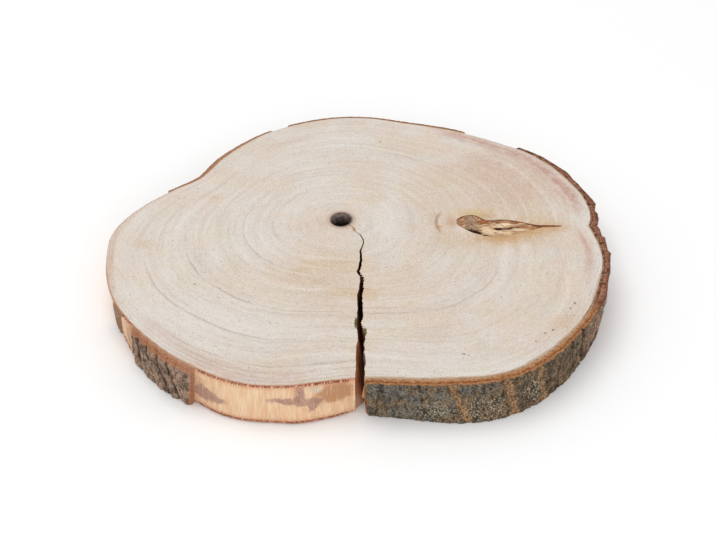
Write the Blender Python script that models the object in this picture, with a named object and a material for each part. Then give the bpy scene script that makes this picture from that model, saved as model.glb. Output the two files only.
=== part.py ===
"""Wood slice: a board sawn straight across a trunk, with its bark, hollow pith, drying crack and one knot.

Metres, +Z up. The underside lies on z = 0, and the origin is under the middle of the slice's box.
Angles are in degrees round the pith, anticlockwise from +X, seen from above.
"""

import math

import bmesh
import bpy
from mathutils import Vector, noise

MM = 0.001

# Driving dimensions
THICKNESS = 31.0 * MM
PITH_PLACE = Vector((-12.6, 21.7, 0.0)) * MM

# The wood under the bark at the upper face: angle and radius in mm, closer together where it turns
WOOD_OUTLINE = [
    (2, 179.0), (10, 178.3), (17, 175.0), (25, 170.5), (31, 165.5), (38, 157.4),
    (46, 149.8), (54, 144.2), (62, 139.0), (70, 135.2), (80, 135.2), (92, 133.8),
    (104, 130.4), (116, 127.2), (128, 122.4), (139, 119.6), (150, 116.8), (156, 118.6),
    (164, 129.8), (172, 143.0), (180, 156.2), (187, 165.6), (195, 169.8), (205, 176.2),
    (214, 180.2), (226, 182.8), (236, 185.8), (250, 187.6), (259, 182.4), (268, 174.6),
    (276, 172.8), (284, 177.8), (293, 187.0), (301, 196.4), (308, 200.2), (318, 199.4),
    (328, 197.8), (339, 193.2), (347, 188.0), (352, 183.4), (358, 178.6),
]

# How far the underside's rim lies inside the upper rim, in mm, by angle, and less than 0 where it stands out
UNDERCUT = [
    (2, 2.0), (90, 2.0), (165, 2.0), (198, 3.0), (212, 4.8), (220, 1.4), (239, 2.4),
    (246, -0.8), (256, -0.2), (262, -1.6), (267, 0.4), (270, 2.4), (273.3, 6.0), (275.4, 12.4),
    (276.6, 4.4), (283, 2.4), (293.5, -2.2), (305, 0.2), (312, 1.4), (328, 4.6), (344, 1.0),
]

# Bark left on the slice: name, first and last angle, thickness at each of them and ridge height in mm
BARK_STRIPS = [
    ("back", 50.0, 109.0, 3.2, 2.4, 0.6),
    ("back_left", 115.0, 163.0, 2.6, 2.2, 0.6),
    ("left_scrap", 209.0, 214.6, 1.8, 2.2, 0.3),
    ("front_left", 220.4, 239.6, 3.2, 5.0, 1.6),
    ("front_right", 275.2, 345.0, 6.2, 7.2, 1.0),
    ("right", 345.0, 395.0, 7.2, 4.2, 1.4),
]
BARK_END_TAPER = 0.4        # degrees in which a strip of bark rises to its full thickness
BARK_RIDGE_SPACING = 8.0 * MM
BARK_RIDGE_HEIGHT = 30.0 * MM
BARK_LEAN = 0.35            # how far the ridges lean along the rim for each unit of height
# Fissures in the bark: angle at the upper face, angle at the underside, width and depth in mm
BARK_FISSURES = [
    (223.0, 226.0, 3.0, 2.0), (230.0, 234.5, 3.5, 2.4), (291.0, 295.0, 3.0, 1.8),
    (302.0, 305.5, 3.5, 2.2), (309.5, 312.5, 3.0, 1.8), (322.0, 324.0, 2.5, 1.5),
    (357.8, 357.8, 4.0, 2.6),
]
WORN_STRIP = "front_left"       # bark worn back to its inner layer along the upper face
WORN_HEIGHT = 6.5 * MM
WORN_SHARE = 0.25               # thickness that is left of it at the upper face

# The drying crack at the upper face: distance from the pith along -Y, place along +X and full width, in mm
CRACK_PATH = [
    (3.0, 3.0, 0.5), (7.5, 8.3, 0.5), (13.9, 11.2, 0.5), (18.2, 14.0, 0.5), (26.7, 16.3, 0.6),
    (37.0, 14.0, 0.8), (45.5, 14.3, 1.4), (57.5, 13.1, 1.6), (62.0, 12.5, 2.0), (67.5, 14.6, 2.1),
    (78.0, 14.6, 2.2), (88.1, 13.1, 2.5), (102.4, 13.6, 2.8), (115.2, 11.9, 3.9), (121.0, 13.6, 3.5),
    (131.9, 14.4, 4.2), (149.7, 13.9, 5.2), (167.3, 13.3, 6.2), (190.0, 13.4, 7.2),
]
CRACK_LEAN = 3.0 * MM           # sideways shift at the underside, which grows between two distances
CRACK_LEAN_START = 60.0 * MM
CRACK_LEAN_END = 160.0 * MM
CRACK_UNDERSIDE_SHARE = 0.45    # width at the underside over width at the upper face
CRACK_LEAST_WIDTH = 0.5 * MM

# The hollow pith
PITH_HOLE_RADIUS = Vector((8.2, 8.9)) * MM
PITH_HOLE_SIDES = 36

# The knot, a dead branch that the trunk closed round: distance from the pith along +X, and its two edges
# along +Y, in mm
KNOT_OUTLINE = [
    (83.0, -3.6, -2.4), (86.0, -8.6, 1.2), (91.0, -13.8, 5.0), (101.0, -19.0, 4.6),
    (113.0, -20.6, 2.0), (125.0, -17.4, -0.6), (135.0, -13.8, -4.0), (143.0, -11.0, -6.6),
    (158.0, -8.8, -7.8),
]
KNOT_CORE_DEPTH = 0.7 * MM
KNOT_GROOVE_DEPTH = 3.0 * MM
KNOT_RIDGE = 0.5 * MM
KNOT_STATIONS = 26
KNOT_LANES = 10

# How finely the wall is divided
WALL_COLUMNS = 320
WALL_ROWS = 9

CUTTER_MARGIN = 3.0 * MM

WOOD_COLOUR = (0.74, 0.65, 0.53, 1.0)
WOOD_ROUGHNESS = 0.75


def smooth_through(points, angle):
    """Value of the closed smooth curve through (angle, value) points at an angle in degrees."""
    count = len(points)
    angle = (angle - points[0][0]) % 360.0 + points[0][0]
    index = max(i for i in range(count) if points[i][0] <= angle)

    def knot(i):
        turns, place = divmod(i, count)
        return points[place][0] + 360.0 * turns, points[place][1]

    (a0, v0), (a1, v1), (a2, v2), (a3, v3) = (knot(index + step) for step in (-1, 0, 1, 2))
    span = a2 - a1
    t = (angle - a1) / span
    slope1 = (v2 - v0) / (a2 - a0) * span
    slope2 = (v3 - v1) / (a3 - a1) * span
    return (
        (2 * t**3 - 3 * t**2 + 1) * v1
        + (t**3 - 2 * t**2 + t) * slope1
        + (3 * t**2 - 2 * t**3) * v2
        + (t**3 - t**2) * slope2
    )


def straight_through(rows, place, column):
    """Value in a column at a place along rows that are sorted by their first value."""
    if place <= rows[0][0]:
        return rows[0][column]
    for low, high in zip(rows, rows[1:]):
        if place <= high[0]:
            share = (place - low[0]) / (high[0] - low[0])
            return low[column] + share * (high[column] - low[column])
    return rows[-1][column]


def ease(share):
    """Smooth step from 0 to 1."""
    share = min(1.0, max(0.0, share))
    return share * share * (3.0 - 2.0 * share)


def fissure_depth(angle, height, radius):
    """How deep the nearest fissures cut the bark at an angle and a height above the underside."""
    depth = 0.0
    for upper, lower, width, deep in BARK_FISSURES:
        middle = lower + (upper - lower) * height / THICKNESS
        away = math.radians(abs((angle - middle + 180.0) % 360.0 - 180.0)) * radius
        depth += deep * MM * math.exp(-((away / (width * MM / 2.0)) ** 2))
    return depth


def bark_thickness(angle, height, radius):
    """How far the bark stands out from the wood at an angle and a height above the underside."""
    thickness = 0.0
    arc = math.radians(angle) * radius
    for name, first, last, at_first, at_last, ridge in BARK_STRIPS:
        along = (angle - first) % 360.0
        if along > last - first:
            continue
        share = along / (last - first)
        full = (at_first + share * (at_last - at_first)) * MM
        starts = 1.0 if name == "right" else ease(along / BARK_END_TAPER)
        ends = 1.0 if name == "front_right" else ease((last - first - along) / BARK_END_TAPER)
        lean = arc + BARK_LEAN * height
        place = Vector((lean / BARK_RIDGE_SPACING, height / BARK_RIDGE_HEIGHT, first))
        relief = noise.noise(place) + 0.5 * noise.noise(place * 2.1)
        full += ridge * MM * relief - fissure_depth(angle, height, radius)
        if name == WORN_STRIP:
            below = (THICKNESS - height) / WORN_HEIGHT
            full *= WORN_SHARE + (1.0 - WORN_SHARE) * ease(below)
        thickness = max(thickness, full * starts * ends)
    return thickness


def wall_radius(angle, height):
    """Distance of the slice's outer surface from the pith."""
    wood = smooth_through(WOOD_OUTLINE, angle) * MM
    lowered = (THICKNESS - height) / THICKNESS
    undercut = smooth_through(UNDERCUT, angle) * MM * lowered
    return wood + bark_thickness(angle, height, wood) - undercut


def place_rim(verts, height):
    """Moves a ring of vertices out to the wall at a height, each along its own angle."""
    for vert in verts:
        angle = math.degrees(math.atan2(vert.co.y, vert.co.x)) % 360.0
        radius = wall_radius(angle, height)
        vert.co.x = radius * math.cos(math.radians(angle))
        vert.co.y = radius * math.sin(math.radians(angle))
        vert.co.z = height


def object_from(bm, name, at):
    """Makes an object from a bmesh, with its faces pointing out, and places it."""
    bmesh.ops.recalc_face_normals(bm, faces=bm.faces)
    mesh = bpy.data.meshes.new(name)
    bm.to_mesh(mesh)
    bm.free()
    made = bpy.data.objects.new(name, mesh)
    made.location = at
    bpy.context.collection.objects.link(made)
    return made


def make_slab():
    """The sawn slice with its bark: a rim outline raised row by row from the underside."""
    bm = bmesh.new()
    ring = bmesh.ops.create_circle(bm, cap_ends=True, radius=1.0, segments=WALL_COLUMNS)
    place_rim(ring["verts"], 0.0)
    cap = bm.faces[:]
    for row in range(1, WALL_ROWS + 1):
        raised = bmesh.ops.extrude_face_region(bm, geom=cap)
        if row > 1:
            bmesh.ops.delete(bm, geom=cap, context="FACES_ONLY")
        cap = [item for item in raised["geom"] if isinstance(item, bmesh.types.BMFace)]
        rim = [item for item in raised["geom"] if isinstance(item, bmesh.types.BMVert)]
        place_rim(rim, THICKNESS * row / WALL_ROWS)
    return object_from(bm, "wood_slice", PITH_PLACE)


def crack_side(side, share):
    """One side of the crack, -1 left or 1 right, at share 0, the underside, to 1, the upper face."""
    edge = []
    for outward, across, width in CRACK_PATH:
        lean = CRACK_LEAN * ease((outward * MM - CRACK_LEAN_START) / (CRACK_LEAN_END - CRACK_LEAN_START))
        narrowing = CRACK_UNDERSIDE_SHARE + (1.0 - CRACK_UNDERSIDE_SHARE) * share
        half_width = max(width * MM * narrowing, CRACK_LEAST_WIDTH) / 2.0
        middle = across * MM + lean * (1.0 - share)
        edge.append((middle + side * half_width, -outward * MM))
    return edge


def make_crack_cutter():
    """The drying crack as a zigzag wedge that opens towards the rim and the upper face."""
    past = CUTTER_MARGIN / THICKNESS
    bm = bmesh.new()
    lower = crack_side(-1, -past) + crack_side(1, -past)[::-1]
    upper = crack_side(-1, 1 + past) + crack_side(1, 1 + past)[::-1]
    floor = bm.faces.new([bm.verts.new((x, y, -CUTTER_MARGIN)) for x, y in lower])
    raised = bmesh.ops.extrude_face_region(bm, geom=[floor])
    lid = [item for item in raised["geom"] if isinstance(item, bmesh.types.BMFace)][0]
    for vert, (x, y) in zip(lid.verts, upper):
        vert.co = (x, y, THICKNESS + CUTTER_MARGIN)
    return object_from(bm, "crack_cutter", PITH_PLACE)


def make_pith_cutter():
    """The hollow pith as a slightly lumpy oval hole through both faces."""
    bm = bmesh.new()
    depth = THICKNESS + 2.0 * CUTTER_MARGIN
    bmesh.ops.create_cone(
        bm, cap_ends=True, segments=PITH_HOLE_SIDES, radius1=1.0, radius2=1.0, depth=depth
    )
    for vert in bm.verts:
        angle = math.atan2(vert.co.y, vert.co.x)
        lump = 1.0 + 0.04 * math.sin(3.0 * angle + 0.6) + 0.025 * math.sin(5.0 * angle + 2.0)
        vert.co.x *= PITH_HOLE_RADIUS.x * lump
        vert.co.y *= PITH_HOLE_RADIUS.y * lump
    return object_from(bm, "pith_cutter", PITH_PLACE + Vector((0.0, 0.0, THICKNESS / 2.0)))


def knot_depth(along, across):
    """Depth of the knot's surface, along 0 to 1 from its inner tip, across -1 to 1 from edge to edge."""
    tail = ease((1.0 - along) / 0.35)
    groove = ease((abs(across) - 0.62) / 0.25)
    deeper_below = 0.75 - 0.25 * across
    ridges = math.sin(9.0 * across + 5.0 * along) * math.cos(7.0 * along - 2.0 * across)
    core = KNOT_CORE_DEPTH + KNOT_RIDGE * ridges * (1.0 - groove)
    return 0.3 * MM + tail * (core + groove * deeper_below * (KNOT_GROOVE_DEPTH - KNOT_CORE_DEPTH))


def make_knot_cutter():
    """The knot as a lens-shaped hollow: a ragged core between two deeper grooves of bark."""
    bm = bmesh.new()
    bmesh.ops.create_grid(bm, x_segments=KNOT_STATIONS, y_segments=KNOT_LANES, size=1.0)
    tip, end = KNOT_OUTLINE[0][0], KNOT_OUTLINE[-1][0]
    for vert in bm.verts:
        along = (vert.co.x + 1.0) / 2.0
        across = vert.co.y
        outward = tip + along * (end - tip)
        low = straight_through(KNOT_OUTLINE, outward, 1)
        high = straight_through(KNOT_OUTLINE, outward, 2)
        y = (low + high) / 2.0 + across * (high - low) / 2.0
        vert.co = (outward * MM, y * MM, THICKNESS - knot_depth(along, across))
    raised = bmesh.ops.extrude_face_region(bm, geom=bm.faces[:])
    for item in raised["geom"]:
        if isinstance(item, bmesh.types.BMVert):
            item.co.z = THICKNESS + CUTTER_MARGIN
    return object_from(bm, "knot_cutter", PITH_PLACE)


def cut(body, cutter):
    """Cuts the cutter's shape from the body and removes the cutter."""
    boolean = body.modifiers.new(cutter.name, "BOOLEAN")
    boolean.operation = "DIFFERENCE"
    boolean.solver = "EXACT"
    boolean.object = cutter
    bpy.context.view_layer.update()
    evaluated = body.evaluated_get(bpy.context.evaluated_depsgraph_get())
    cut_mesh = bpy.data.meshes.new_from_object(evaluated)
    body.modifiers.remove(boolean)
    body.data = cut_mesh
    bpy.data.objects.remove(cutter)


def wood_material():
    """Pale, dry sawn wood."""
    material = bpy.data.materials.new("sawn_wood")
    material.use_nodes = True
    shader = material.node_tree.nodes["Principled BSDF"]
    shader.inputs["Base Color"].default_value = WOOD_COLOUR
    shader.inputs["Roughness"].default_value = WOOD_ROUGHNESS
    shader.inputs["Metallic"].default_value = 0.0
    return material


for old in list(bpy.data.objects):
    bpy.data.objects.remove(old)

wood_slice = make_slab()
for cutter in (make_pith_cutter(), make_knot_cutter(), make_crack_cutter()):
    cut(wood_slice, cutter)
wood_slice.data.name = "wood_slice"
wood_slice.data.materials.clear()
wood_slice.data.materials.append(wood_material())
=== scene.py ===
"""Wood slice: the finish of a pale, fast-grown trunk sawn straight across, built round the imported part.

Metres, in the part's frame: the underside lies on z = 0 and +Z comes out of the upper sawn face.
Angles are in degrees round the pith, anticlockwise from +X, seen from above.
"""

import math

import bmesh
import bpy
from mathutils import Matrix, Vector, noise


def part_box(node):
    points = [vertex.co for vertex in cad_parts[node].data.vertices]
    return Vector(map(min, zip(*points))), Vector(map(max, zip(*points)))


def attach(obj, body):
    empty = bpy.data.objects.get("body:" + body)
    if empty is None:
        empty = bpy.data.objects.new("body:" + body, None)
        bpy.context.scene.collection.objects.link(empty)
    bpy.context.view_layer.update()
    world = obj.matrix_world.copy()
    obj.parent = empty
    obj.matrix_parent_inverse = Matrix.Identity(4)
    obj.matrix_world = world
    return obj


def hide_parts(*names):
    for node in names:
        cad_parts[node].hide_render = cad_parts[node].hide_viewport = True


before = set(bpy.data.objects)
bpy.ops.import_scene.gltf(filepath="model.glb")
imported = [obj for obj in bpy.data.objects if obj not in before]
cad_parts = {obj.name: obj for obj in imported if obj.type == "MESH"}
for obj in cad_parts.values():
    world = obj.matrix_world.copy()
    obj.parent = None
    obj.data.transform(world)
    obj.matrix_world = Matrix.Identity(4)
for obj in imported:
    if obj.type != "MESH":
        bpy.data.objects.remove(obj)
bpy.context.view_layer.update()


# The sawn wood
# A slice of the trunk's own wood, sawn dry across the grain on both faces. Its rim is the bare wood under
# the bark, the soft pith has rotted out to a hole, and one drying crack runs from there to the rim.

MM = 0.001
THICKNESS = (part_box("wood_slice")[1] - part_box("wood_slice")[0]).z
PITH = Vector((-12.6, 21.7, 0.0)) * MM

# The wood at the upper face, as angle and radius in mm, closer together where it turns
WOOD_OUTLINE = [
    (0.8, 180.4), (3.7, 181), (6.3, 180.6), (10, 179.3), (17, 175.4), (25, 170.7), (31, 165.5), (38, 157.4),
    (46, 149.8), (54, 144.2), (62, 139), (70, 135.6), (80, 135.4), (92, 133.8), (104, 130.4), (116, 127.2),
    (128, 122.4), (139, 119), (150, 116.2), (156, 118.6), (164, 129.8), (172, 142.8), (180, 155.8),
    (187, 164.8), (195, 169.8), (205, 176.2), (214, 180.2), (226, 182.8), (236, 185.8), (250, 187.6),
    (259, 182.4), (268, 174.6), (276, 172.8), (284, 177.8), (293, 187), (301, 196.4), (308, 200.2),
    (318, 199.2), (328, 197), (335, 193.9), (341.5, 191.4), (346, 189.4), (350.9, 185.2), (355.2, 180.9),
    (357.6, 178), (359, 179.6),
]
# How far the underside's rim lies inside the upper rim, in mm, less than 0 where it stands out
UNDERCUT = [
    (2, 2), (90, 2), (165, 2), (198, 3), (212, 4.4), (220, 1.4), (234, 0.6), (240, 0.4), (246, -1.6),
    (256, -1.2), (262, -3.2), (267, -2.2), (270, -0.3), (273.3, 3.4), (275.4, 7.4), (276.6, 4.4),
    (283, 3.4), (293.5, -2), (305, -0.9), (312, -0.6), (320, 0.4), (327, 1.4), (331, 2.2), (336, 4),
    (344, 0.2), (352, 1.6),
]
STEPS_PER_TURN = 1440


def smooth_through(points, angle):
    """Value of the closed smooth curve through (angle, value) points at an angle in degrees."""
    count = len(points)
    angle = (angle - points[0][0]) % 360.0 + points[0][0]
    index = max(i for i in range(count) if points[i][0] <= angle)

    def knot(i):
        turns, place = divmod(i, count)
        return points[place][0] + 360.0 * turns, points[place][1]

    (a0, v0), (a1, v1), (a2, v2), (a3, v3) = (knot(index + step) for step in (-1, 0, 1, 2))
    span = a2 - a1
    t = (angle - a1) / span
    slope1 = (v2 - v0) / (a2 - a0) * span
    slope2 = (v3 - v1) / (a3 - a1) * span
    return (
        (2 * t**3 - 3 * t**2 + 1) * v1
        + (t**3 - 2 * t**2 + t) * slope1
        + (3 * t**2 - 2 * t**3) * v2
        + (t**3 - t**2) * slope2
    )


def ease(share):
    """Smooth step from 0 to 1."""
    share = min(1.0, max(0.0, share))
    return share * share * (3.0 - 2.0 * share)


def turn_table(points):
    """The curve through the points, read once for each small step of a turn, in metres."""
    turn = range(STEPS_PER_TURN + 1)
    return [smooth_through(points, 360.0 * step / STEPS_PER_TURN) * MM for step in turn]


def read_table(table, angle):
    place = (angle % 360.0) / 360.0 * STEPS_PER_TURN
    low = int(place)
    return table[low] + (table[low + 1] - table[low]) * (place - low)


RIM = turn_table(WOOD_OUTLINE)
INSET = turn_table(UNDERCUT)


def wood_radius(angle, height):
    """Distance of the bare wood's rim from the pith."""
    return read_table(RIM, angle) - read_table(INSET, angle) * (THICKNESS - height) / THICKNESS


def angle_of(x, y):
    return math.degrees(math.atan2(y, x)) % 360.0


def wobble(x, y, z, seed=0.0):
    """Smooth random value between about -1 and 1."""
    return noise.noise(Vector((x + 31.7 * seed, y - 17.3 * seed, z + 5.1 * seed)))


def rough(x, y, z, octaves, seed=0.0):
    """Sum of ever finer and weaker wobbles."""
    return sum(wobble(x * 2.0**n, y * 2.0**n, z * 2.0**n, seed + n) * 0.55**n for n in range(octaves))


def new_verts(geometry):
    return [item for item in geometry if isinstance(item, bmesh.types.BMVert)]


def finished(bm, name, materials, smooth_below=None):
    """Turns a bmesh that is laid out round the pith into an object in the part's frame."""
    bmesh.ops.translate(bm, verts=bm.verts, vec=PITH)
    mesh = bpy.data.meshes.new(name)
    bm.to_mesh(mesh)
    bm.free()
    for material in materials:
        mesh.materials.append(material)
    if smooth_below is not None:
        mesh.shade_smooth()
        mesh.set_sharp_from_angle(angle=math.radians(smooth_below))
    made = bpy.data.objects.new(name, mesh)
    bpy.context.scene.collection.objects.link(made)
    return made


def put_attribute(piece, name, values, kind="FLOAT"):
    """Stores one value, or one colour, for each vertex of a piece."""
    layer = piece.data.attributes.new(name, kind, "POINT")
    if kind == "FLOAT":
        layer.data.foreach_set("value", values)
    else:
        layer.data.foreach_set("color", [part for value in values for part in value])


RIM_COLUMNS = 880
FACE_SHARES = (
    0.0, 0.012, 0.03, 0.06, 0.1, 0.14, 0.18, 0.22, 0.26, 0.3, 0.34, 0.38, 0.42, 0.46, 0.5, 0.54,
    0.58, 0.62, 0.66, 0.7, 0.74, 0.78, 0.82, 0.86, 0.89, 0.915, 0.94, 0.96, 0.975, 0.988, 1.0,
)
WALL_ROWS = 18
PITH_ROWS = 8
PITH_HOLE_RADIUS = Vector((7.5, 8.4)) * MM
EDGE_ROUNDING = 0.35 * MM
WALL_FLUTES = 0.22 * MM         # the bare wood's shallow upright waves
TORN_EDGE = 0.6 * MM            # depth to which the saw tore the wood's outer edge
WOOD_SHARP_FROM = 38.0          # degrees between two faces from which their edge is sharp


def pith_rim(angle):
    """Point on the hollow pith's lumpy oval edge."""
    turn = math.radians(angle)
    x, y = math.cos(turn), math.sin(turn)
    lump = 1.0 + 0.03 * math.sin(2.0 * turn + 0.6) + 0.02 * wobble(3.0 * x, 3.0 * y, 1.0)
    return Vector((x * PITH_HOLE_RADIUS.x, y * PITH_HOLE_RADIUS.y)) * lump


def place_ring(verts, share, height, inside=0.0):
    """Moves a ring of vertices to a share of the way from the pith's edge to the rim."""
    for vert in verts:
        angle = angle_of(vert.co.x, vert.co.y)
        turn = math.radians(angle)
        radius = wood_radius(angle, height)
        arc = turn * radius
        edge = min(1.0, max(0.0, share))
        flutes = wobble(arc / (5.0 * MM), height / (60.0 * MM), 0.0) * WALL_FLUTES
        flutes += wobble(arc / (1.7 * MM), height / (25.0 * MM), 3.0) * WALL_FLUTES * 0.5
        near_face = min(height, THICKNESS - height) < EDGE_ROUNDING
        torn = abs(wobble(arc / (2.2 * MM), height, 9.0)) * TORN_EDGE if near_face else 0.0
        outer = Vector((math.cos(turn), math.sin(turn))) * (radius + flutes - torn - inside)
        place = pith_rim(angle).lerp(outer, edge)
        vert.co = (place.x, place.y, height)


def wood_body():
    """Lofts the slice ring by ring: over the upper face, down the rim, under it and up the pith hole."""
    face = [(share, THICKNESS, 0.0) for share in FACE_SHARES[:-1]]
    rim = [(1.0, THICKNESS, EDGE_ROUNDING)]
    rim += [(1.0, THICKNESS * (WALL_ROWS - row) / WALL_ROWS, 0.0) for row in range(1, WALL_ROWS)]
    under = [(1.0, 0.0, EDGE_ROUNDING)] + [(share, 0.0, 0.0) for share in FACE_SHARES[-3::-2]]
    hole = [(0.0, THICKNESS * row / PITH_ROWS, 0.0) for row in range(1, PITH_ROWS)]
    bm = bmesh.new()
    ring = bmesh.ops.create_circle(bm, segments=RIM_COLUMNS, radius=1.0)["verts"]
    first = edges = bm.edges[:]
    stations = face + rim + under + hole
    place_ring(ring, *stations[0])
    for station in stations[1:]:
        raised = bmesh.ops.extrude_edge_only(bm, edges=edges)["geom"]
        ring = set(new_verts(raised))
        place_ring(ring, *station)
        edges = [e for e in raised if isinstance(e, bmesh.types.BMEdge) and set(e.verts) <= ring]
    bmesh.ops.bridge_loops(bm, edges=first + edges)
    bmesh.ops.recalc_face_normals(bm, faces=bm.faces)
    return bm


# The drying crack at the upper face: distance from the pith along -Y, place along +X and full width, in mm
CRACK_PATH = [
    (3, 3, 0.5), (9.1, 8.6, 0.5), (14.4, 10.3, 0.5), (17.8, 13.7, 0.7), (21.5, 15, 0.8), (25.4, 16.2, 0.8),
    (29, 15.9, 0.7), (32.9, 15.1, 0.9), (37.1, 13.9, 1.2), (43, 14.3, 1.7), (48, 14.4, 1.8),
    (52, 13.8, 1.8), (57, 13.3, 2), (60.5, 12.3, 2.1), (63.5, 13.4, 2.4), (66.5, 14.8, 2.5), (70, 15.2, 3),
    (75, 14.6, 2.8), (79, 14.7, 3.4), (83, 14, 3.3), (88, 13.3, 3.7), (92, 13.5, 3.4), (101, 13.8, 3.7),
    (105, 13.6, 4.1), (109, 13.9, 4.3), (113, 13.1, 3.5), (117, 12.8, 3.2), (122, 13.7, 4.6),
    (128, 14.4, 4.9), (134, 14.6, 5), (138, 13.8, 5), (142, 14, 5.9), (146, 13.7, 5.6), (150, 13.9, 6.3),
    (158, 13.9, 6.3), (162, 13.6, 5.7), (166, 13.7, 6.2), (173, 13.3, 6.3), (190, 13.2, 7.2),
]
CRACK_STEP = 0.6                # mm between the points of its torn edges
CRACK_LEAN = 3.4 * MM
CRACK_LEAN_START = 35.0 * MM
CRACK_LEAN_END = 125.0 * MM
CRACK_UNDERSIDE_SHARE = 0.3
CRACK_LEAST_WIDTH = 0.45 * MM
CRACK_TEETH = {-1: 0.25 * MM, 1: 0.55 * MM}   # the right wall is torn more than the left
CRACK_FLARE = 160.5, 166.5       # mm from the pith, where the left wall turns out at the underside
CRACK_ROWS = 14
PAST_FACE = 3.0 * MM


def straight_through(rows, place, column):
    """Value in a column at a place along rows that are sorted by their first value."""
    if place <= rows[0][0]:
        return rows[0][column]
    for low, high in zip(rows, rows[1:]):
        if place <= high[0]:
            share = (place - low[0]) / (high[0] - low[0])
            return low[column] + share * (high[column] - low[column])
    return rows[-1][column]


def crack_wall(side, outward, height):
    """A wall of the crack, -1 left or 1 right, at a distance in mm from the pith and a height."""
    share = height / THICKNESS
    lean = CRACK_LEAN * ease((outward * MM - CRACK_LEAN_START) / (CRACK_LEAN_END - CRACK_LEAN_START))
    narrowing = CRACK_UNDERSIDE_SHARE + (1.0 - CRACK_UNDERSIDE_SHARE) * share
    width = max(straight_through(CRACK_PATH, outward, 2) * MM * narrowing, CRACK_LEAST_WIDTH)
    middle = straight_through(CRACK_PATH, outward, 1) * MM + lean * (1.0 - share)
    tooth = wobble(outward / 2.6, 0.6 * share, 3.0 * side) + 0.6 * wobble(outward / 1.1, share, 8.0 * side)
    tooth *= CRACK_TEETH[side] * min(1.0, width / (2.2 * MM))
    place = middle + side * (width / 2.0 + tooth)
    if side > 0 or share > 0.999:
        return place
    start, end = CRACK_FLARE
    flare = min(1.0, max(0.0, (outward - start) / (end - start)))
    return place + flare * (crack_wall(side, outward, THICKNESS) - place)


def crack_cutter():
    """The crack's own shape, a torn wedge that opens towards the rim and the upper face."""
    first, last = CRACK_PATH[0][0], CRACK_PATH[-1][0]
    count = int((last - first) / CRACK_STEP)
    outwards = [first + (last - first) * i / count for i in range(count + 1)]
    spots = [(-1, outward) for outward in outwards] + [(1, outward) for outward in outwards[::-1]]

    def ring(height):
        return [(crack_wall(side, outward, height), -outward * MM, height) for side, outward in spots]

    bm = bmesh.new()
    cap = bm.faces.new([bm.verts.new(place) for place in ring(-PAST_FACE)])
    for row in range(1, CRACK_ROWS + 1):
        raised = bmesh.ops.extrude_face_region(bm, geom=[cap])
        if row > 1:
            bmesh.ops.delete(bm, geom=[cap], context="FACES_ONLY")
        cap = [item for item in raised["geom"] if isinstance(item, bmesh.types.BMFace)][0]
        height = -PAST_FACE + (THICKNESS + 2.0 * PAST_FACE) * row / CRACK_ROWS
        for vert, place in zip(cap.verts, ring(height)):
            vert.co = place
    bmesh.ops.recalc_face_normals(bm, faces=bm.faces)
    return bm


# The knot's outline: distance from the pith along +X, and its two edges along +Y, in mm
KNOT_OUTLINE = [
    (83.2, -5.4, -0.4), (84.2, -7.4, 1.4), (86.4, -9.4, 3), (88.7, -11.6, 4.4), (91.4, -14, 5.2),
    (94.7, -16.4, 5.6), (97.4, -17.4, 4.8), (100.2, -18.8, 2.4), (103.3, -20, -0.2), (106.4, -20.4, -1.2),
    (109.6, -20.6, -0.6), (115, -20.7, 0), (120.4, -19.2, -0.4), (125.9, -17.2, -1.8), (131.4, -15, -3.6),
    (137.5, -12.6, -5.8), (140.6, -11, -6.7), (143.6, -9.6, -6.9), (152, -9.1, -7.1), (158, -8.5, -7.3),
]
KNOT_POCKET = 6.0 * MM
KNOT_SIDE_POINTS = 48


def knot_edges(outward):
    """Lower and upper edge of the knot, in metres, at a distance from the pith in metres."""
    place = outward / MM
    ragged = 0.35 * wobble(place / 2.4, 1.0, 2.0), 0.3 * wobble(place / 2.0, 5.0, 4.0)
    low, high = (straight_through(KNOT_OUTLINE, place, column) for column in (1, 2))
    fade = min(1.0, (high - low) / 4.0)
    return (low + ragged[0] * fade) * MM, (high + ragged[1] * fade) * MM


def knot_cutter():
    """The pocket that the knot sits in: its outline sunk a few millimetres into the wood."""
    tip, end = KNOT_OUTLINE[0][0] * MM, KNOT_OUTLINE[-1][0] * MM
    outwards = [tip + (end - tip) * i / KNOT_SIDE_POINTS for i in range(KNOT_SIDE_POINTS + 1)]
    outline = [(x, knot_edges(x)[0]) for x in outwards] + [(x, knot_edges(x)[1]) for x in outwards[::-1]]
    bm = bmesh.new()
    floor = bm.faces.new([bm.verts.new((x, y, THICKNESS - KNOT_POCKET)) for x, y in outline])
    raised = bmesh.ops.extrude_face_region(bm, geom=[floor])
    bmesh.ops.translate(bm, verts=new_verts(raised["geom"]), vec=(0.0, 0.0, KNOT_POCKET + PAST_FACE))
    bmesh.ops.recalc_face_normals(bm, faces=bm.faces)
    return bm


def cut(piece, cutter):
    """Cuts the cutter from the piece. The new walls wear the cutter's material."""
    boolean = piece.modifiers.new("cut", "BOOLEAN")
    boolean.operation = "DIFFERENCE"
    boolean.solver = "EXACT"
    boolean.material_mode = "TRANSFER"
    boolean.object = cutter
    evaluated = piece.evaluated_get(bpy.context.evaluated_depsgraph_get())
    result = bpy.data.meshes.new_from_object(evaluated)
    piece.modifiers.remove(boolean)
    piece.data = result
    bpy.data.objects.remove(cutter)


def linear(code, alpha=1.0):
    """An sRGB hex colour as the linear values that a shader takes."""
    channels = [int(code[i : i + 2], 16) / 255.0 for i in (1, 3, 5)]
    return (*[c / 12.92 if c <= 0.04045 else ((c + 0.055) / 1.055) ** 2.4 for c in channels], alpha)


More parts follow.
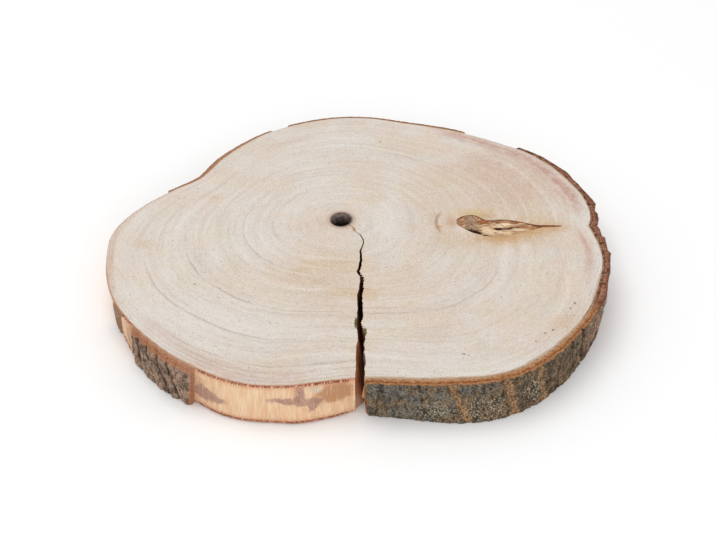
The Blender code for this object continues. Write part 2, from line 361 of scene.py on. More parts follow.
def add(tree, kind, inputs=(), out=None, **settings):
    """Adds a node with its settings and links, and gives its main output, or the one that out names.

    Inputs are values, or sockets that they are linked from: in the node's order, or by name or number.
    """
    made = tree.nodes.new("ShaderNode" + kind)
    for name, value in settings.items():
        setattr(made, name, value)
    if isinstance(inputs, dict):
        pairs = [(made.inputs[key], value) for key, value in inputs.items()]
    else:
        pairs = zip([socket for socket in made.inputs if socket.enabled], inputs)
    for socket, value in pairs:
        if isinstance(value, bpy.types.NodeSocket):
            tree.links.new(value, socket)
        else:
            socket.default_value = value
    return [socket for socket in made.outputs if socket.enabled][0] if out is None else made.outputs[out]


def new_material(name, roughness, specular):
    """A material with a Principled BSDF, and its tree, shader and Object coordinates."""
    material = bpy.data.materials.new(name)
    material.use_nodes = True
    tree = material.node_tree
    shader = tree.nodes["Principled BSDF"]
    shader.inputs["Roughness"].default_value = roughness
    shader.inputs["Specular IOR Level"].default_value = specular
    shader.inputs["IOR"].default_value = 1.5
    return material, tree, shader, add(tree, "TexCoord", out="Object")


def wash(tree, colour, tone, pattern, low, high, amount=1.0):
    """Lays a tone over a colour, from none where the pattern is low to an amount where it is high."""
    share = add(tree, "MapRange", (pattern, low, high, 0.0, amount), interpolation_type="SMOOTHSTEP")
    return add(tree, "Mix", (share, colour, linear(tone)), data_type="RGBA")


def tinge(tree, colour, tone, mask, share):
    """Lays a tone over a colour by a share of a mask."""
    amount = add(tree, "Math", (mask, share), operation="MULTIPLY")
    return add(tree, "Mix", (amount, colour, linear(tone)), data_type="RGBA")


def surface(tree, shader, colour, relief, depth):
    """Gives the shader its colour, and a relief of a depth in metres."""
    bump = add(tree, "Bump", {"Height": relief, "Distance": depth, "Strength": 1.0})
    tree.links.new(colour, shader.inputs["Base Color"])
    tree.links.new(bump, shader.inputs["Normal"])


def cloud(tree, at, size, detail=3.0, stretched=(1.0, 1.0, 1.0)):
    """Soft random pattern between 0 and 1 whose lumps are about size metres wide."""
    if stretched != (1.0, 1.0, 1.0):
        at = add(tree, "Mapping", {0: at, 3: stretched})
    return add(tree, "TexNoise", {"Vector": at, "Scale": 1.0 / size, "Detail": detail})


def patchwork(tree, at, size, detail, low, high, to_low=0.0, to_high=1.0):
    """Soft-edged patches: a cloud whose range from low to high is stretched to another, held at its ends."""
    values = (cloud(tree, at, size, detail), low, high, to_low, to_high)
    return add(tree, "MapRange", values, interpolation_type="SMOOTHSTEP")


def unsteady(tree, at, size, reach, detail=3.0):
    """Small random shifts, half of reach either way, that change over about size metres."""
    return add(tree, "Math", (cloud(tree, at, size, detail), reach, -reach / 2.0), operation="MULTIPLY_ADD")


def dots(tree, at, spacing, radius, kept):
    """Mask of round specks: their mean spacing and radius in metres, and the share of them that is kept."""
    cells = add(tree, "TexVoronoi", {"Vector": at, "Scale": 1.0 / spacing})
    radius /= spacing
    near = add(tree, "MapRange", (cells, radius, 0.5 * radius), interpolation_type="SMOOTHSTEP")
    lot = add(tree, "SeparateColor", (cells.node.outputs["Color"],))
    chosen = add(tree, "Math", (lot, kept), operation="LESS_THAN")
    return add(tree, "Math", (near, chosen), operation="MULTIPLY")


def oval(tree, at, x, y, half_x, half_y, z=THICKNESS / MM, half_z=22.0):
    """Distance from a place, 1 on an oval round it. Place and half sizes in mm round the pith."""
    place = PITH + Vector((x, y, z)) * MM
    size = Vector((half_x, half_y, half_z)) * MM
    scaled = add(tree, "Mapping", {0: at, 1: place, 3: size}, vector_type="TEXTURE")
    return add(tree, "VectorMath", (scaled,), operation="LENGTH")


def ring_cloud(tree, at, ring, length, width, detail=3.0):
    """Random pattern drawn out along the rings: its lumps' length in radians, their width in growth."""
    outward = add(tree, "Mapping", {0: at, 1: PITH, 3: (1.0, 1.0, 1e6)}, vector_type="TEXTURE")
    outward = add(tree, "VectorMath", (outward,), operation="NORMALIZE")
    outward = add(tree, "VectorMath", (outward, 1.0 / length), operation="SCALE")
    up = add(tree, "CombineXYZ", {2: add(tree, "Math", (ring, width), operation="DIVIDE")})
    place = add(tree, "VectorMath", (outward, up), operation="ADD")
    return add(tree, "TexNoise", {"Vector": place, "Scale": 1.0, "Detail": detail})


# Ring lines on the sawn faces: share of the growth from pith to rim, and how dark the line is
RING_LINES = [
    (0.402, 0.8), (0.515, 0.6), (0.600, 0.5), (0.631, 1), (0.700, 0.5), (0.783, 1), (0.913, 0.8),
    (0.944, 0.7), (0.966, 0.8), (0.984, 0.8),
]
RING_SHARP_SIDE = 0.003
RING_SOFT_SIDE = 0.007
SAW_PITCH = 1.6 * MM
WAVE_BAND = 0.314           # metres between the bands of a wave texture of scale 1
# Small marks on the upper face, in mm round the pith: place, half sizes, amount, softness, colour
FACE_MARKS = [
    (79.5, -3.4, 8, 11, 0.65, 1, "#b98f69"), (70.6, -8.6, 3.4, 2.6, 0.9, 0.8, "#cf9a6c"),
    (9.4, -11.6, 2.4, 4.6, 0.6, 0.7, "#bd9468"), (150, -9.5, 20, 9, 0.7, 1, "#c2976a"),
    (114, -21, 30, 12, 0.9, 1, "#bf9565"), (96, 5.5, 21, 12, 0.75, 1, "#c8aa74"),
    (132, -14.5, 24, 11, 0.8, 1, "#bf9565"), (16.8, -125.5, 1.6, 5.5, 1, 0.4, "#5f5924"),
    (10.8, -116.5, 1.3, 6.5, 1, 0.4, "#5f5924"), (29.1, 100.4, 1.4, 1.2, 0.6, 0.5, "#5f5348"),
    (81.3, -148, 1.4, 1, 0.7, 0.5, "#5a4f45"), (84.4, -149, 1, 0.8, 0.6, 0.5, "#6b5f54"),
    (136, -126.8, 1.3, 1, 0.7, 0.6, "#6b4a3c"), (141.6, -123.7, 1.3, 1.4, 0.7, 0.6, "#6b4a3c"),
    (129.4, -135, 1, 1, 0.6, 0.6, "#5f5348"), (159, -95.3, 1.3, 1.7, 0.7, 0.6, "#6b4a3c"),
    (-99.5, -74.7, 1.3, 0.9, 0.6, 0.5, "#6b5f54"), (155.5, -101, 1, 2, 0.5, 0.5, "#8a6a5a"),
    (104, 4, 10, 5.5, 0.5, 1, "#b99682"),
]


def sawn_end_grain():
    """Dry hardwood, cross sawn and unsealed: chalky and matt, with faint rings and rows of open pores."""
    material, tree, shader, at = new_material("cross_sawn_hardwood", 0.78, 0.2)
    growth = add(tree, "Attribute", out="Fac", attribute_name="growth")
    tint = add(tree, "Attribute", attribute_name="tint")
    pink, tan, cool = add(tree, "SeparateColor", (tint,)).node.outputs
    lines_here = tint.node.outputs["Alpha"]
    wave = unsteady(tree, at, 40 * MM, 0.028)
    shiver = unsteady(tree, at, 5 * MM, 0.006)
    ring = add(tree, "Math", (growth, wave), operation="ADD")
    ring = add(tree, "Math", (ring, shiver), operation="ADD")

    ramp = add(tree, "ValToRGB", (ring,))
    stops = ramp.node.color_ramp.elements
    stops[0].position, stops[0].color = 0.0, (0.0, 0.0, 0.0, 1.0)
    stops[1].position, stops[1].color = 1.0, (0.0, 0.0, 0.0, 1.0)
    for place, dark in RING_LINES:
        for shift, amount in ((-RING_SOFT_SIDE, 0.0), (0.0, dark), (RING_SHARP_SIDE, 0.0)):
            stops.new(place + shift).color = (amount, amount, amount, 1.0)
    fading = patchwork(tree, at, 30 * MM, 2.0, 0.36, 0.54, 0.25, 1.0)
    line = add(tree, "Math", (ramp, fading), operation="MULTIPLY")
    line = add(tree, "Math", (line, lines_here), operation="MULTIPLY")

    mottle = patchwork(tree, at, 34 * MM, 4.0, 0.32, 0.68)
    colour = add(tree, "Mix", (mottle, linear("#d0c3b6"), linear("#d5ccc3")), data_type="RGBA")
    hue = cloud(tree, at, 19 * MM, 3.0)
    colour = wash(tree, colour, "#d3c6ab", hue, 0.52, 0.66, 0.4)
    colour = wash(tree, colour, "#d3d0cc", hue, 0.47, 0.33, 0.45)
    colour = wash(tree, colour, "#d6c2b5", cloud(tree, at, 23 * MM, 4.0), 0.42, 0.66, 0.4)
    colour = tinge(tree, colour, "#d8d2cb", cool, 0.9)
    tan_field = patchwork(tree, at, 9 * MM, 4.0, 0.25, 0.6, 0.4, 1.0)
    colour = tinge(tree, colour, "#c6a478", tan, tan_field)
    pink_field = patchwork(tree, at, 7 * MM, 4.0, 0.3, 0.66, 0.5, 1.0)
    colour = tinge(tree, colour, "#bb9083", pink, pink_field)

    broad = ring_cloud(tree, at, ring, 0.7, 0.024, 4.0)
    colour = wash(tree, colour, "#bfae9d", broad, 0.5, 0.72, 0.38)
    colour = wash(tree, colour, "#e2dbd2", broad, 0.48, 0.3, 0.35)
    grain = ring_cloud(tree, at, ring, 0.035, 0.0085, 4.0)
    grain_field = patchwork(tree, at, 26 * MM, 3.0, 0.4, 0.6, 0.5, 1.0)
    darker = add(tree, "MapRange", (grain, 0.5, 0.74, 0.0, 0.3), interpolation_type="SMOOTHSTEP")
    colour = tinge(tree, colour, "#a89583", darker, grain_field)
    colour = wash(tree, colour, "#e6dfd6", grain, 0.48, 0.28, 0.2)
    dust = cloud(tree, at, 1.3 * MM, 3.0)
    colour = wash(tree, colour, "#e4dcd2", dust, 0.5, 0.7, 0.35)
    colour = wash(tree, colour, "#b5a493", dust, 0.5, 0.3, 0.35)
    fine_pores = dots(tree, at, 1.5 * MM, 0.45 * MM, 0.35)
    rows = (ring_cloud(tree, at, ring, 0.25, 0.014, 2.0), 0.46, 0.62, 0.05, 0.65)
    pore_rows = add(tree, "MapRange", rows, interpolation_type="SMOOTHSTEP")
    fine_pores = add(tree, "Math", (fine_pores, pore_rows), operation="MULTIPLY")
    colour = add(tree, "Mix", (fine_pores, colour, linear("#8d7867")), data_type="RGBA")
    colour = tinge(tree, colour, "#7f6a59", dots(tree, at, 6.0 * MM, 0.65 * MM, 0.25), 0.7)
    colour = tinge(tree, colour, "#8d7b6a", line, 0.5)

    ragged = unsteady(tree, at, 2.2 * MM, 0.9, 4.0)
    for x, y, half_x, half_y, amount, soft, tone in FACE_MARKS:
        away = add(tree, "Math", (oval(tree, at, x, y, half_x, half_y), ragged), operation="ADD")
        colour = wash(tree, colour, tone, away, 1.0, 1.0 - soft, amount)
    arc = add(tree, "Math", (oval(tree, at, 85.0, -4.0, 16.5, 20.0), 1.0), operation="SUBTRACT")
    arc = add(tree, "Math", (arc,), operation="ABSOLUTE")
    arc = add(tree, "MapRange", (arc, 0.13, 0.0), interpolation_type="SMOOTHSTEP")
    beside = (oval(tree, at, 69.0, -3.0, 8.0, 19.0), 1.0, 0.4, 0.0, 0.65)
    left_of_knot = add(tree, "MapRange", beside, interpolation_type="SMOOTHSTEP")
    colour = tinge(tree, colour, "#9f7550", arc, left_of_knot)
    colour = wash(tree, colour, "#a88b7e", oval(tree, at, 0.4, -0.4, 12.5, 13.2), 1.0, 0.62, 0.65)
    mouth = add(tree, "Math", (ragged, 0.16, oval(tree, at, 0.2, 0.0, 8.7, 9.7)), operation="MULTIPLY_ADD")
    colour = wash(tree, colour, "#6f5d53", mouth, 1.05, 0.86, 0.8)
    colour = wash(tree, colour, "#b08d70", ring, 0.989, 0.999, 0.75)

    saw = add(
        tree, "TexWave", {"Vector": at, "Scale": WAVE_BAND / SAW_PITCH, "Distortion": 1.4, "Detail": 2.0},
        out=1, bands_direction="Y",
    )
    saw = add(tree, "Math", (saw, 0.35), operation="MULTIPLY")
    relief = add(tree, "Math", (saw, grain), operation="ADD")
    sunk = add(tree, "Math", (fine_pores, 0.8), operation="MULTIPLY")
    relief = add(tree, "Math", (relief, sunk), operation="SUBTRACT")
    surface(tree, shader, colour, relief, 0.045 * MM)
    return material


def bare_cambium():
    """Wood laid bare under lost bark: smooth, silky, orange tan, with fine upright fibres and stains."""
    material, tree, shader, at = new_material("bare_cambium_wood", 0.62, 0.25)
    height = add(tree, "SeparateXYZ", (at,), out=2)
    stain = add(tree, "Attribute", attribute_name="stain")
    mauve, brown, grey = add(tree, "SeparateColor", (stain,)).node.outputs
    fibres = cloud(tree, at, 0.7 * MM, 3.0, (1.0, 1.0, 0.07))
    streaks = cloud(tree, at, 3.0 * MM, 4.0, (1.0, 1.0, 0.12))
    colour = wash(tree, linear("#deb590"), "#e9cba8", streaks, 0.3, 0.7)
    colour = wash(tree, colour, "#e0aa80", cloud(tree, at, 7.0 * MM, 5.0), 0.42, 0.66, 0.3)
    edge = unsteady(tree, at, 3.2 * MM, 1.5, 5.0)
    marks = ((brown, 1.1, "#b07c57", 0.9), (mauve, 0.55, "#ab8175", 0.85), (grey, 0.7, "#cdc2ad", 0.8))
    for mask, softness, tone, amount in marks:
        ragged = add(tree, "Math", (mask, edge), operation="ADD")
        colour = wash(tree, colour, tone, ragged, 0.4, 0.4 + softness, amount)
    speckle = patchwork(tree, at, 1.1 * MM, 3.0, 0.42, 0.66, 0.0, 0.45)
    colour = tinge(tree, colour, "#80604f", speckle, mauve)
    colour = wash(tree, colour, "#c08e68", fibres, 0.48, 0.7, 0.3)
    colour = wash(tree, colour, "#f4dfc4", fibres, 0.46, 0.3, 0.3)
    torn = unsteady(tree, at, 1.6 * MM, 3.4 * MM, 4.0)
    from_middle = add(tree, "Math", (height, THICKNESS / 2.0), operation="SUBTRACT")
    from_middle = add(tree, "Math", (from_middle,), operation="ABSOLUTE")
    outer = add(tree, "Math", (from_middle, torn), operation="ADD")
    edge = THICKNESS / 2.0 - 0.5 * MM
    colour = wash(tree, colour, "#d0926e", outer, THICKNESS / 2.0 - 5.5 * MM, edge, 0.7)
    colour = wash(tree, colour, "#a6674f", outer, THICKNESS / 2.0 - 1.5 * MM, edge, 0.7)
    relief = add(tree, "Math", (streaks, 0.5, fibres), operation="MULTIPLY_ADD")
    surface(tree, shader, colour, relief, 0.14 * MM)
    return material


def torn_crack():
    """Old torn wood inside the crack: weathered brown, splintered along the grain, with a trace of moss,
    painted lighter towards the underside and with painted shade further in.
    """
    material, tree, shader, at = new_material("weathered_torn_wood", 0.95, 0.02)
    _, y, height = add(tree, "SeparateXYZ", (at,)).node.outputs
    fibres = cloud(tree, at, 1.2 * MM, 4.0, (1.0, 1.0, 0.08))
    colour = wash(tree, linear("#a5694c"), "#c9926f", fibres, 0.35, 0.7)
    # Painted light: the walls are lighter towards the underside.
    uneven = unsteady(tree, at, 5.0 * MM, 8.0 * MM)
    height = add(tree, "Math", (height, uneven), operation="ADD")
    colour = wash(tree, colour, "#c3a086", height, 17.0 * MM, 2.0 * MM, 0.8)
    # Painted shade: darker further into the crack, towards the pith, where little light reaches.
    colour = wash(tree, colour, "#4f3324", y, -125.0 * MM, -70.0 * MM, 0.75)
    surface(tree, shader, colour, fibres, 0.4 * MM)
    return material


def rotted_pith():
    """Wall of the hollow pith: soft rotted wood, brown at the mouth, and darkened to nearly black further
    down by painted shade.
    """
    material, tree, shader, at = new_material("rotted_pith_wood", 0.95, 0.02)
    height = add(tree, "SeparateXYZ", (at,), out=2)
    lumps = cloud(tree, at, 2.5 * MM, 4.0)
    depth = add(tree, "Math", (lumps, 5.0 * MM, -2.5 * MM), operation="MULTIPLY_ADD")
    depth = add(tree, "Math", (height, depth), operation="ADD")
    # Painted shade: the wall darkens from the mouth down towards the underside, where little light reaches
    # into the hole.
    depths = (depth, THICKNESS - 12.0 * MM, THICKNESS - 1.5 * MM)
    mouth = add(tree, "MapRange", depths, interpolation_type="SMOOTHSTEP")
    rim = wash(tree, linear("#7a6b63"), "#a3948a", lumps, 0.36, 0.62)
    colour = add(tree, "Mix", (mouth, linear("#352c29"), rim), data_type="RGBA")
    surface(tree, shader, colour, lumps, 1.2 * MM)
    return material


def knot_lining():
    """The thin bark that the trunk closed over: nearly black brown and crumbly."""
    material, tree, shader, at = new_material("ingrown_bark", 0.95, 0.05)
    crumbs = cloud(tree, at, 1.5 * MM, 4.0)
    colour = add(tree, "Mix", (crumbs, linear("#4a2f1f"), linear("#8a5a3c")), data_type="RGBA")
    surface(tree, shader, colour, crumbs, 0.5 * MM)
    return material


MEAN_RADIUS = 160.0 * MM
OUTLINE_TAKES_OVER = 1.6    # rings are round at the pith and follow the rim's shape further out
# How much further out the middle rings lie: angle, share of their radius
RING_SWELL = [
    (30, 0), (100, 0), (150, 0.04), (180, 0.08), (200, 0.1), (212, 0.09), (228, 0.06), (242, 0.03),
    (261, -0.015), (275, 0.01), (297, 0.07), (313, 0.107), (329, 0.115), (345, 0.08), (360, 0.03),
]


def growth_at(x, y):
    """Share of the tree's growth, 0 at the pith and 1 at the rim, at a point round the pith."""
    radius = math.hypot(x, y)
    rim = wood_radius(angle_of(x, y), THICKNESS)
    swell = smooth_through(RING_SWELL, angle_of(x, y))
    share = radius / rim
    for _ in range(8):
        room = MEAN_RADIUS + max(share, 0.0) ** OUTLINE_TAKES_OVER * (rim - MEAN_RADIUS)
        share = radius / (room * (1.0 + swell * ease(share / 0.4) * ease((1.0 - share) / 0.16)))
    return share


# Tints of the sawn faces. Bands: first and last angle, growth share, half width in growth, amount
PINK_BANDS = [
    (0, 60, 0.955, 0.028, 1.1), (333, 360, 0.938, 0.026, 0.8), (232, 268, 0.962, 0.03, 0.42),
    (160, 214, 0.99, 0.025, 0.5), (215, 240, 0.93, 0.03, 0.35), (5, 45, 0.8, 0.16, 0.35),
    (305, 335, 0.93, 0.03, 0.3),
]
TAN_BANDS = [
    (160, 208, 0.972, 0.011, 0.75), (114, 140, 0.985, 0.012, 0.5), (44, 66, 0.985, 0.012, 0.4),
]
# Spots: place round the pith and half sizes in mm, amount
TAN_SPOTS = [
    (-7, -54, 30, 15, 0.5), (14, -85, 18, 4.5, 0.6), (-20, -70, 13, 4.5, 0.6), (107, 52, 42, 28, 0.35),
    (108, -26, 44, 13, 0.6), (-92.6, 27, 6, 6, 0.6), (-138, -30, 6, 6, 0.6), (145, -118, 14, 8, 0.3),
    (19, -140, 15, 3.5, 0.4), (-52, 126, 26, 5, 0.4), (-76, -59, 18, 11, 0.2), (131, 24, 22, 32, 0.3),
    (45, -70, 21, 14, 0.3), (56, 96, 30, 14, 0.25), (128, -7, 22, 13, 0.35), (71, -5, 8, 15, 0.4),
    (104, 10, 32, 12, 0.4), (150, -8, 16, 11, 0.45), (0, -4, 17, 16, 0.3), (54, 24, 20, 18, 0.2),
    (25, 27, 8, 8, 0.35), (30, -100, 60, 30, 0.14), (-20, -90, 44, 22, 0.2), (139, -66, 30, 20, 0.18),
    (152, -108, 12, 22, 0.25), (-38, -62, 24, 14, 0.2),
]
COOL_SPOTS = [
    (-100, -108, 52, 34, 0.8), (-50, -118, 42, 26, 0.7), (32, 2, 15, 28, 0.9), (132, -54, 19, 36, 0.45),
    (-5, 96, 36, 24, 0.5), (-57, -36, 17, 30, 0.6), (75, -159, 54, 11, 0.55), (-150, 0, 14, 32, 0.5),
    (-40, 20, 24, 16, 0.4), (-110, -30, 34, 34, 0.4),
]
COOL_BANDS = [
    (277, 352, 0.985, 0.022, 0.5), (336, 378, 0.985, 0.02, 0.95), (150, 212, 0.975, 0.02, 0.6),
]
RINGS_SHOW_BANDS = [
    (140, 262, 0.402, 0.05, 0.55), (186, 300, 0.631, 0.06, 1.1), (196, 266, 0.783, 0.05, 1),
    (266, 305, 0.783, 0.04, 0.4), (220, 280, 0.913, 0.04, 0.9), (156, 276, 0.975, 0.04, 0.5),
    (60, 130, 0.631, 0.05, 0.5), (292, 340, 0.63, 0.06, 0.8), (277, 350, 0.975, 0.035, 0.3),
    (30, 66, 0.631, 0.05, 0.6), (65, 115, 0.402, 0.04, 0.7), (320, 375, 0.402, 0.05, 0.5),
]
RINGS_SHOW_LEAST = 0.15
BAND_FADE = 9.0             # degrees over which a band fades in at its ends


def band_sum(bands, angle, share):
    total = 0.0
    for first, last, middle, half_width, amount in bands:
        along = (angle - first) % 360.0
        if along < last - first:
            fade = ease(min(along, last - first - along) / BAND_FADE)
            total += amount * fade * math.exp(-(((share - middle) / half_width) ** 2))
    return total


def spot_sum(spots, x, y):
    return sum(
        amount * math.exp(-(((x / MM - sx) / rx) ** 2) - (((y / MM - sy) / ry) ** 2))
        for sx, sy, rx, ry, amount in spots
    )


def tint_at(x, y):
    """Pink, tan, cool and ring line amounts at a point round the pith."""
    angle, share = angle_of(x, y), growth_at(x, y)
    return (
        min(1.0, band_sum(PINK_BANDS, angle, share)),
        min(1.0, spot_sum(TAN_SPOTS, x, y) + band_sum(TAN_BANDS, angle, share)),
        min(1.0, spot_sum(COOL_SPOTS, x, y) + band_sum(COOL_BANDS, angle, share)),
        RINGS_SHOW_LEAST + band_sum(RINGS_SHOW_BANDS, angle, share),
    )


# Stains on the bare rim: angle, height in mm, half width in degrees, half height in mm, amount
MAUVE_STAINS = [
    (242, 12.8, 2.8, 5.6, 1.9), (245.8, 11.5, 1.9, 2.2, 1.1), (257.6, 18.5, 2.4, 2, 1.1),
    (260.4, 18, 1.9, 2.6, 1.2), (262, 23.5, 0.95, 8.5, 1.7), (265.2, 17, 2.1, 2.3, 1.2),
    (264.5, 12.5, 1.1, 5, 1.2), (180, 14, 8, 8, 0.7), (44, 15, 3, 9, 0.7), (217.6, 16, 1, 14, 0.5),
]
BROWN_STAINS = [
    (269.6, 21.5, 4.2, 9.4, 2.1), (217.4, 16, 1.4, 14, 0.8), (241, 20, 2.6, 8, 0.9), (192, 20, 5, 7, 0.7),
    (112, 15, 3, 20, 0.6), (262, 17, 5, 5, 0.6), (252, 24, 8, 4, 0.3), (218, 8, 2.6, 6, 0.6),
    (219.8, 24, 1.7, 12, 1.3),
]
GREY_STAINS = [(265.0, 25.5, 1.9, 3.2, 1.4), (175.0, 22.0, 6.0, 6.0, 0.6)]


def stain_at(x, y, z):
    """Mauve, brown and grey stain amounts at a point on the rim."""
    angle = angle_of(x, y)
    amounts = [
        sum(
            amount * math.exp(-(((angle - a) / half) ** 2) - (((z / MM - h) / tall) ** 2))
            for a, h, half, tall, amount in stains
        )
        for stains in (MAUVE_STAINS, BROWN_STAINS, GREY_STAINS)
    ]
    return (*amounts, 1.0)


def dress_wood(piece):
    """Stores on the wood what its materials read: growth, tints and stains."""
    places = [vert.co - PITH for vert in piece.data.vertices]
    put_attribute(piece, "growth", [growth_at(p.x, p.y) for p in places])
    put_attribute(piece, "tint", [tint_at(p.x, p.y) for p in places], "FLOAT_COLOR")
    put_attribute(piece, "stain", [stain_at(p.x, p.y, p.z) for p in places], "FLOAT_COLOR")


def belongs(piece, replaces_part=False):
    """The piece joins the slice's one rigid body; the piece that replaces the part hides it."""
    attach(piece, "root")
    if replaces_part:
        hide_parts("wood_slice")


end_grain = sawn_end_grain()
cambium = bare_cambium()
wood = finished(wood_body(), "sawn_wood", [end_grain, cambium, rotted_pith()])
for polygon in wood.data.polygons:
    flat = abs(polygon.normal.z) > 0.8
    near_pith = (Vector(polygon.center) - PITH).xy.length < 2.0 * PITH_HOLE_RADIUS.y
    polygon.material_index = 0 if flat else 2 if near_pith else 1
cut(wood, finished(knot_cutter(), "knot_cutter", [knot_lining()]))
cut(wood, finished(crack_cutter(), "crack_cutter", [torn_crack()]))
wood.data.name = "sawn_wood"
wood.data.shade_smooth()
wood.data.set_sharp_from_angle(angle=math.radians(WOOD_SHARP_FROM))
dress_wood(wood)
belongs(wood, replaces_part=True)


# The knot
# A dead branch that the growing trunk closed round, cut lengthways by the saw. Its own wood is dry and
# ridged, its inner end is crumbled bark, and a thin dark gap parts it from the trunk's wood.

KNOT_GAP = 0.16 * MM
KNOT_COLUMNS = 210
KNOT_LANES = 72
KNOT_BARK_START, KNOT_BARK_END = 88.4, 98.8   # mm from the pith, the crumbled bark at the branch's inner end
KNOT_SLIT = (116.0, -9.2, 5.4, 0.75, 2.6)   # place, half length, half width and depth in mm
# Tints of the branch's wood, in mm round the pith: place, half sizes, amount
RUST_SPOTS = [
    (108, -2.4, 8, 1.6, 1.4), (101, -1, 4, 2, 0.9), (130, -8, 5, 1.6, 1), (86, -4.5, 3.4, 9, 0.7),
    (138, -9.4, 3.5, 1.8, 0.7), (124, -3.4, 6, 0.9, 0.9), (104, -18.6, 5, 0.9, 0.6),
    (129, -13, 8, 0.8, 0.6),
]
CREAM_SPOTS = [
    (118, -5.4, 6, 1.2, 1.1), (118, -13, 9, 1.4, 0.8), (104, -10, 3, 3.4, 0.6), (108, -16, 7, 2.2, 0.5),
    (127, -10.4, 5, 1, 1.1), (112, -7.6, 4, 0.8, 0.7),
]
# Painted shade in the knot's hollows and its slit: place round the pith and half sizes in mm, amount
HOLLOW_SHADE_SPOTS = [
    (96.2, -15.2, 3.2, 2, 2.8), (92.4, -12.8, 2.8, 1.2, 1.6), (101.5, -17.4, 4, 0.8, 1.3),
    (112.6, -8.8, 3.4, 0.5, 1.4), (117.5, -9.5, 4.2, 0.9, 2.2), (121.6, -8.4, 2, 0.5, 1.2),
    (100.6, -4, 2, 0.5, 0.4), (131.6, -6.2, 2.6, 0.5, 0.9), (106, -5.2, 3, 0.5, 0.7),
    (127, -8, 2.4, 0.5, 0.8),
]
KNOT_STEP = (104.0, 136.0)   # from and to, in mm, where the branch's upper half stands over the lower


def bark_in_knot(x, y):
    border = KNOT_BARK_END - 0.12 * abs(y + 8.0) + 1.6 * wobble(x / 3.0, y / 2.4, 0.0)
    start = KNOT_BARK_START + 1.2 * wobble(x / 2.0, y / 2.6, 6.0)
    return ease((border - x) / 2.4 + 0.5) * ease((x - start) / 1.6 + 0.5)


def knot_crease(x, y):
    """Narrow splits that run along the branch: 1 in a split, 0 away from it."""
    bend = y + 1.1 * math.sin(x / 6.0) + 1.0 * wobble(x / 9.0, y / 7.0, 4.0)
    return max(0.0, 1.0 - 4.5 * abs(wobble(x / 14.0, bend / 1.9, 7.0)))


def knot_height(x, y, across):
    """Height of the knot's torn surface at a place in mm round the pith, across -1 to 1 between its edges."""
    bark = bark_in_knot(x, y)
    tail = ease((150.0 - x) / 10.0) * ease((x - KNOT_OUTLINE[0][0]) / 5.0)
    crumbs = rough(x / 1.7, y / 1.7, 1.0, 3) * 0.75 - 0.6
    step_line = -6.6 + 1.3 * math.sin(x / 3.4) + 0.8 * wobble(x / 2.0, 3.0, 1.0)
    over = ease((y - step_line) / 0.9 + 0.5) * ease((x - KNOT_STEP[0]) / 5.0) * ease((KNOT_STEP[1] - x) / 6.0)
    branch = -1.2 - 0.9 * knot_crease(x, y) + 0.45 * rough(x / 6.0, y / 1.1, 3.0, 3) + 0.9 * over
    sx, sy, length, width, deep = KNOT_SLIT
    away = ((x - sx) / length) ** 4 + ((y - sy - 0.7 * math.sin((x - sx) / 2.4)) / width) ** 2
    height = bark * crumbs + (1.0 - bark) * (branch - deep * math.exp(-away))
    upper = ease((across - 0.8) / 0.2)
    lower = ease((-across - 0.88) / 0.1)
    height += upper * (-0.15 - height) * 0.8
    left = ease((106.0 - x) / 8.0)
    return min(height * tail - (1.0 - tail) * 0.5, -0.06) - lower * (0.3 + 0.7 * left) * tail


def knot_body():
    """The branch's torn surface as a fine grid between the knot's edges, with its sides let down."""
    bm = bmesh.new()
    bmesh.ops.create_grid(bm, x_segments=KNOT_COLUMNS, y_segments=KNOT_LANES, size=1.0)
    tip, end = KNOT_OUTLINE[0][0] * MM, KNOT_OUTLINE[-1][0] * MM
    for vert in bm.verts:
        outward = tip + (0.004 + 0.992 * (vert.co.x + 1.0) / 2.0) * (end - tip)
        across = vert.co.y
        low, high = knot_edges(outward)
        room = max(high - low - 2.0 * KNOT_GAP, 0.15 * MM)
        y = (low + high) / 2.0 + across * room / 2.0
        z = THICKNESS + knot_height(outward / MM, y / MM, across) * MM
        vert.co = (outward, y, max(z, THICKNESS - KNOT_POCKET + 1.0 * MM))
    raised = bmesh.ops.extrude_face_region(bm, geom=bm.faces[:])
    for vert in new_verts(raised["geom"]):
        vert.co.z = THICKNESS - KNOT_POCKET + 0.2 * MM
    bmesh.ops.recalc_face_normals(bm, faces=bm.faces)
    return bm


def branch_wood():
    """Dead branch wood, torn lengthways, stained by resin: dry, ridged, honey to rust, with grey bark, and
    painted shade in its hollows.
    """
    material, tree, shader, at = new_material("dead_branch_wood", 0.85, 0.1)
    shade = add(tree, "Attribute", attribute_name="shade")
    rust, cream, bark = add(tree, "SeparateColor", (shade,)).node.outputs
    fibres = cloud(tree, at, 1.3 * MM, 4.0, (0.16, 1.0, 1.0))
    colour = add(tree, "Mix", (cream, linear("#dbb48c"), linear("#f2e2c6")), data_type="RGBA")
    rusty = wash(tree, linear("#86503a"), "#b8734c", fibres, 0.4, 0.6)
    colour = add(tree, "Mix", (rust, colour, rusty), data_type="RGBA")
    colour = wash(tree, colour, "#966a48", fibres, 0.52, 0.64, 0.6)
    colour = wash(tree, colour, "#f0dcb8", fibres, 0.44, 0.34, 0.5)
    crumbs = cloud(tree, at, 1.7 * MM, 4.0)
    crumbled = wash(tree, linear("#735a49"), "#b5977d", crumbs, 0.38, 0.58)
    crumbled = wash(tree, crumbled, "#a0775a", cloud(tree, at, 5.0 * MM, 3.0), 0.44, 0.58, 0.5)
    flecks = dots(tree, at, 1.9 * MM, 0.6 * MM, 0.3)
    crumbled = add(tree, "Mix", (flecks, crumbled, linear("#c6b6a8")), data_type="RGBA")
    colour = add(tree, "Mix", (bark, colour, crumbled), data_type="RGBA")
    # The fourth channel lays the painted shade of the hollows, splits and edge gaps.
    colour = add(tree, "Mix", (shade.node.outputs["Alpha"], colour, linear("#3b2013")), data_type="RGBA")
    relief = add(tree, "Math", (fibres, crumbs), operation="ADD")
    surface(tree, shader, colour, relief, 0.5 * MM)
    return material


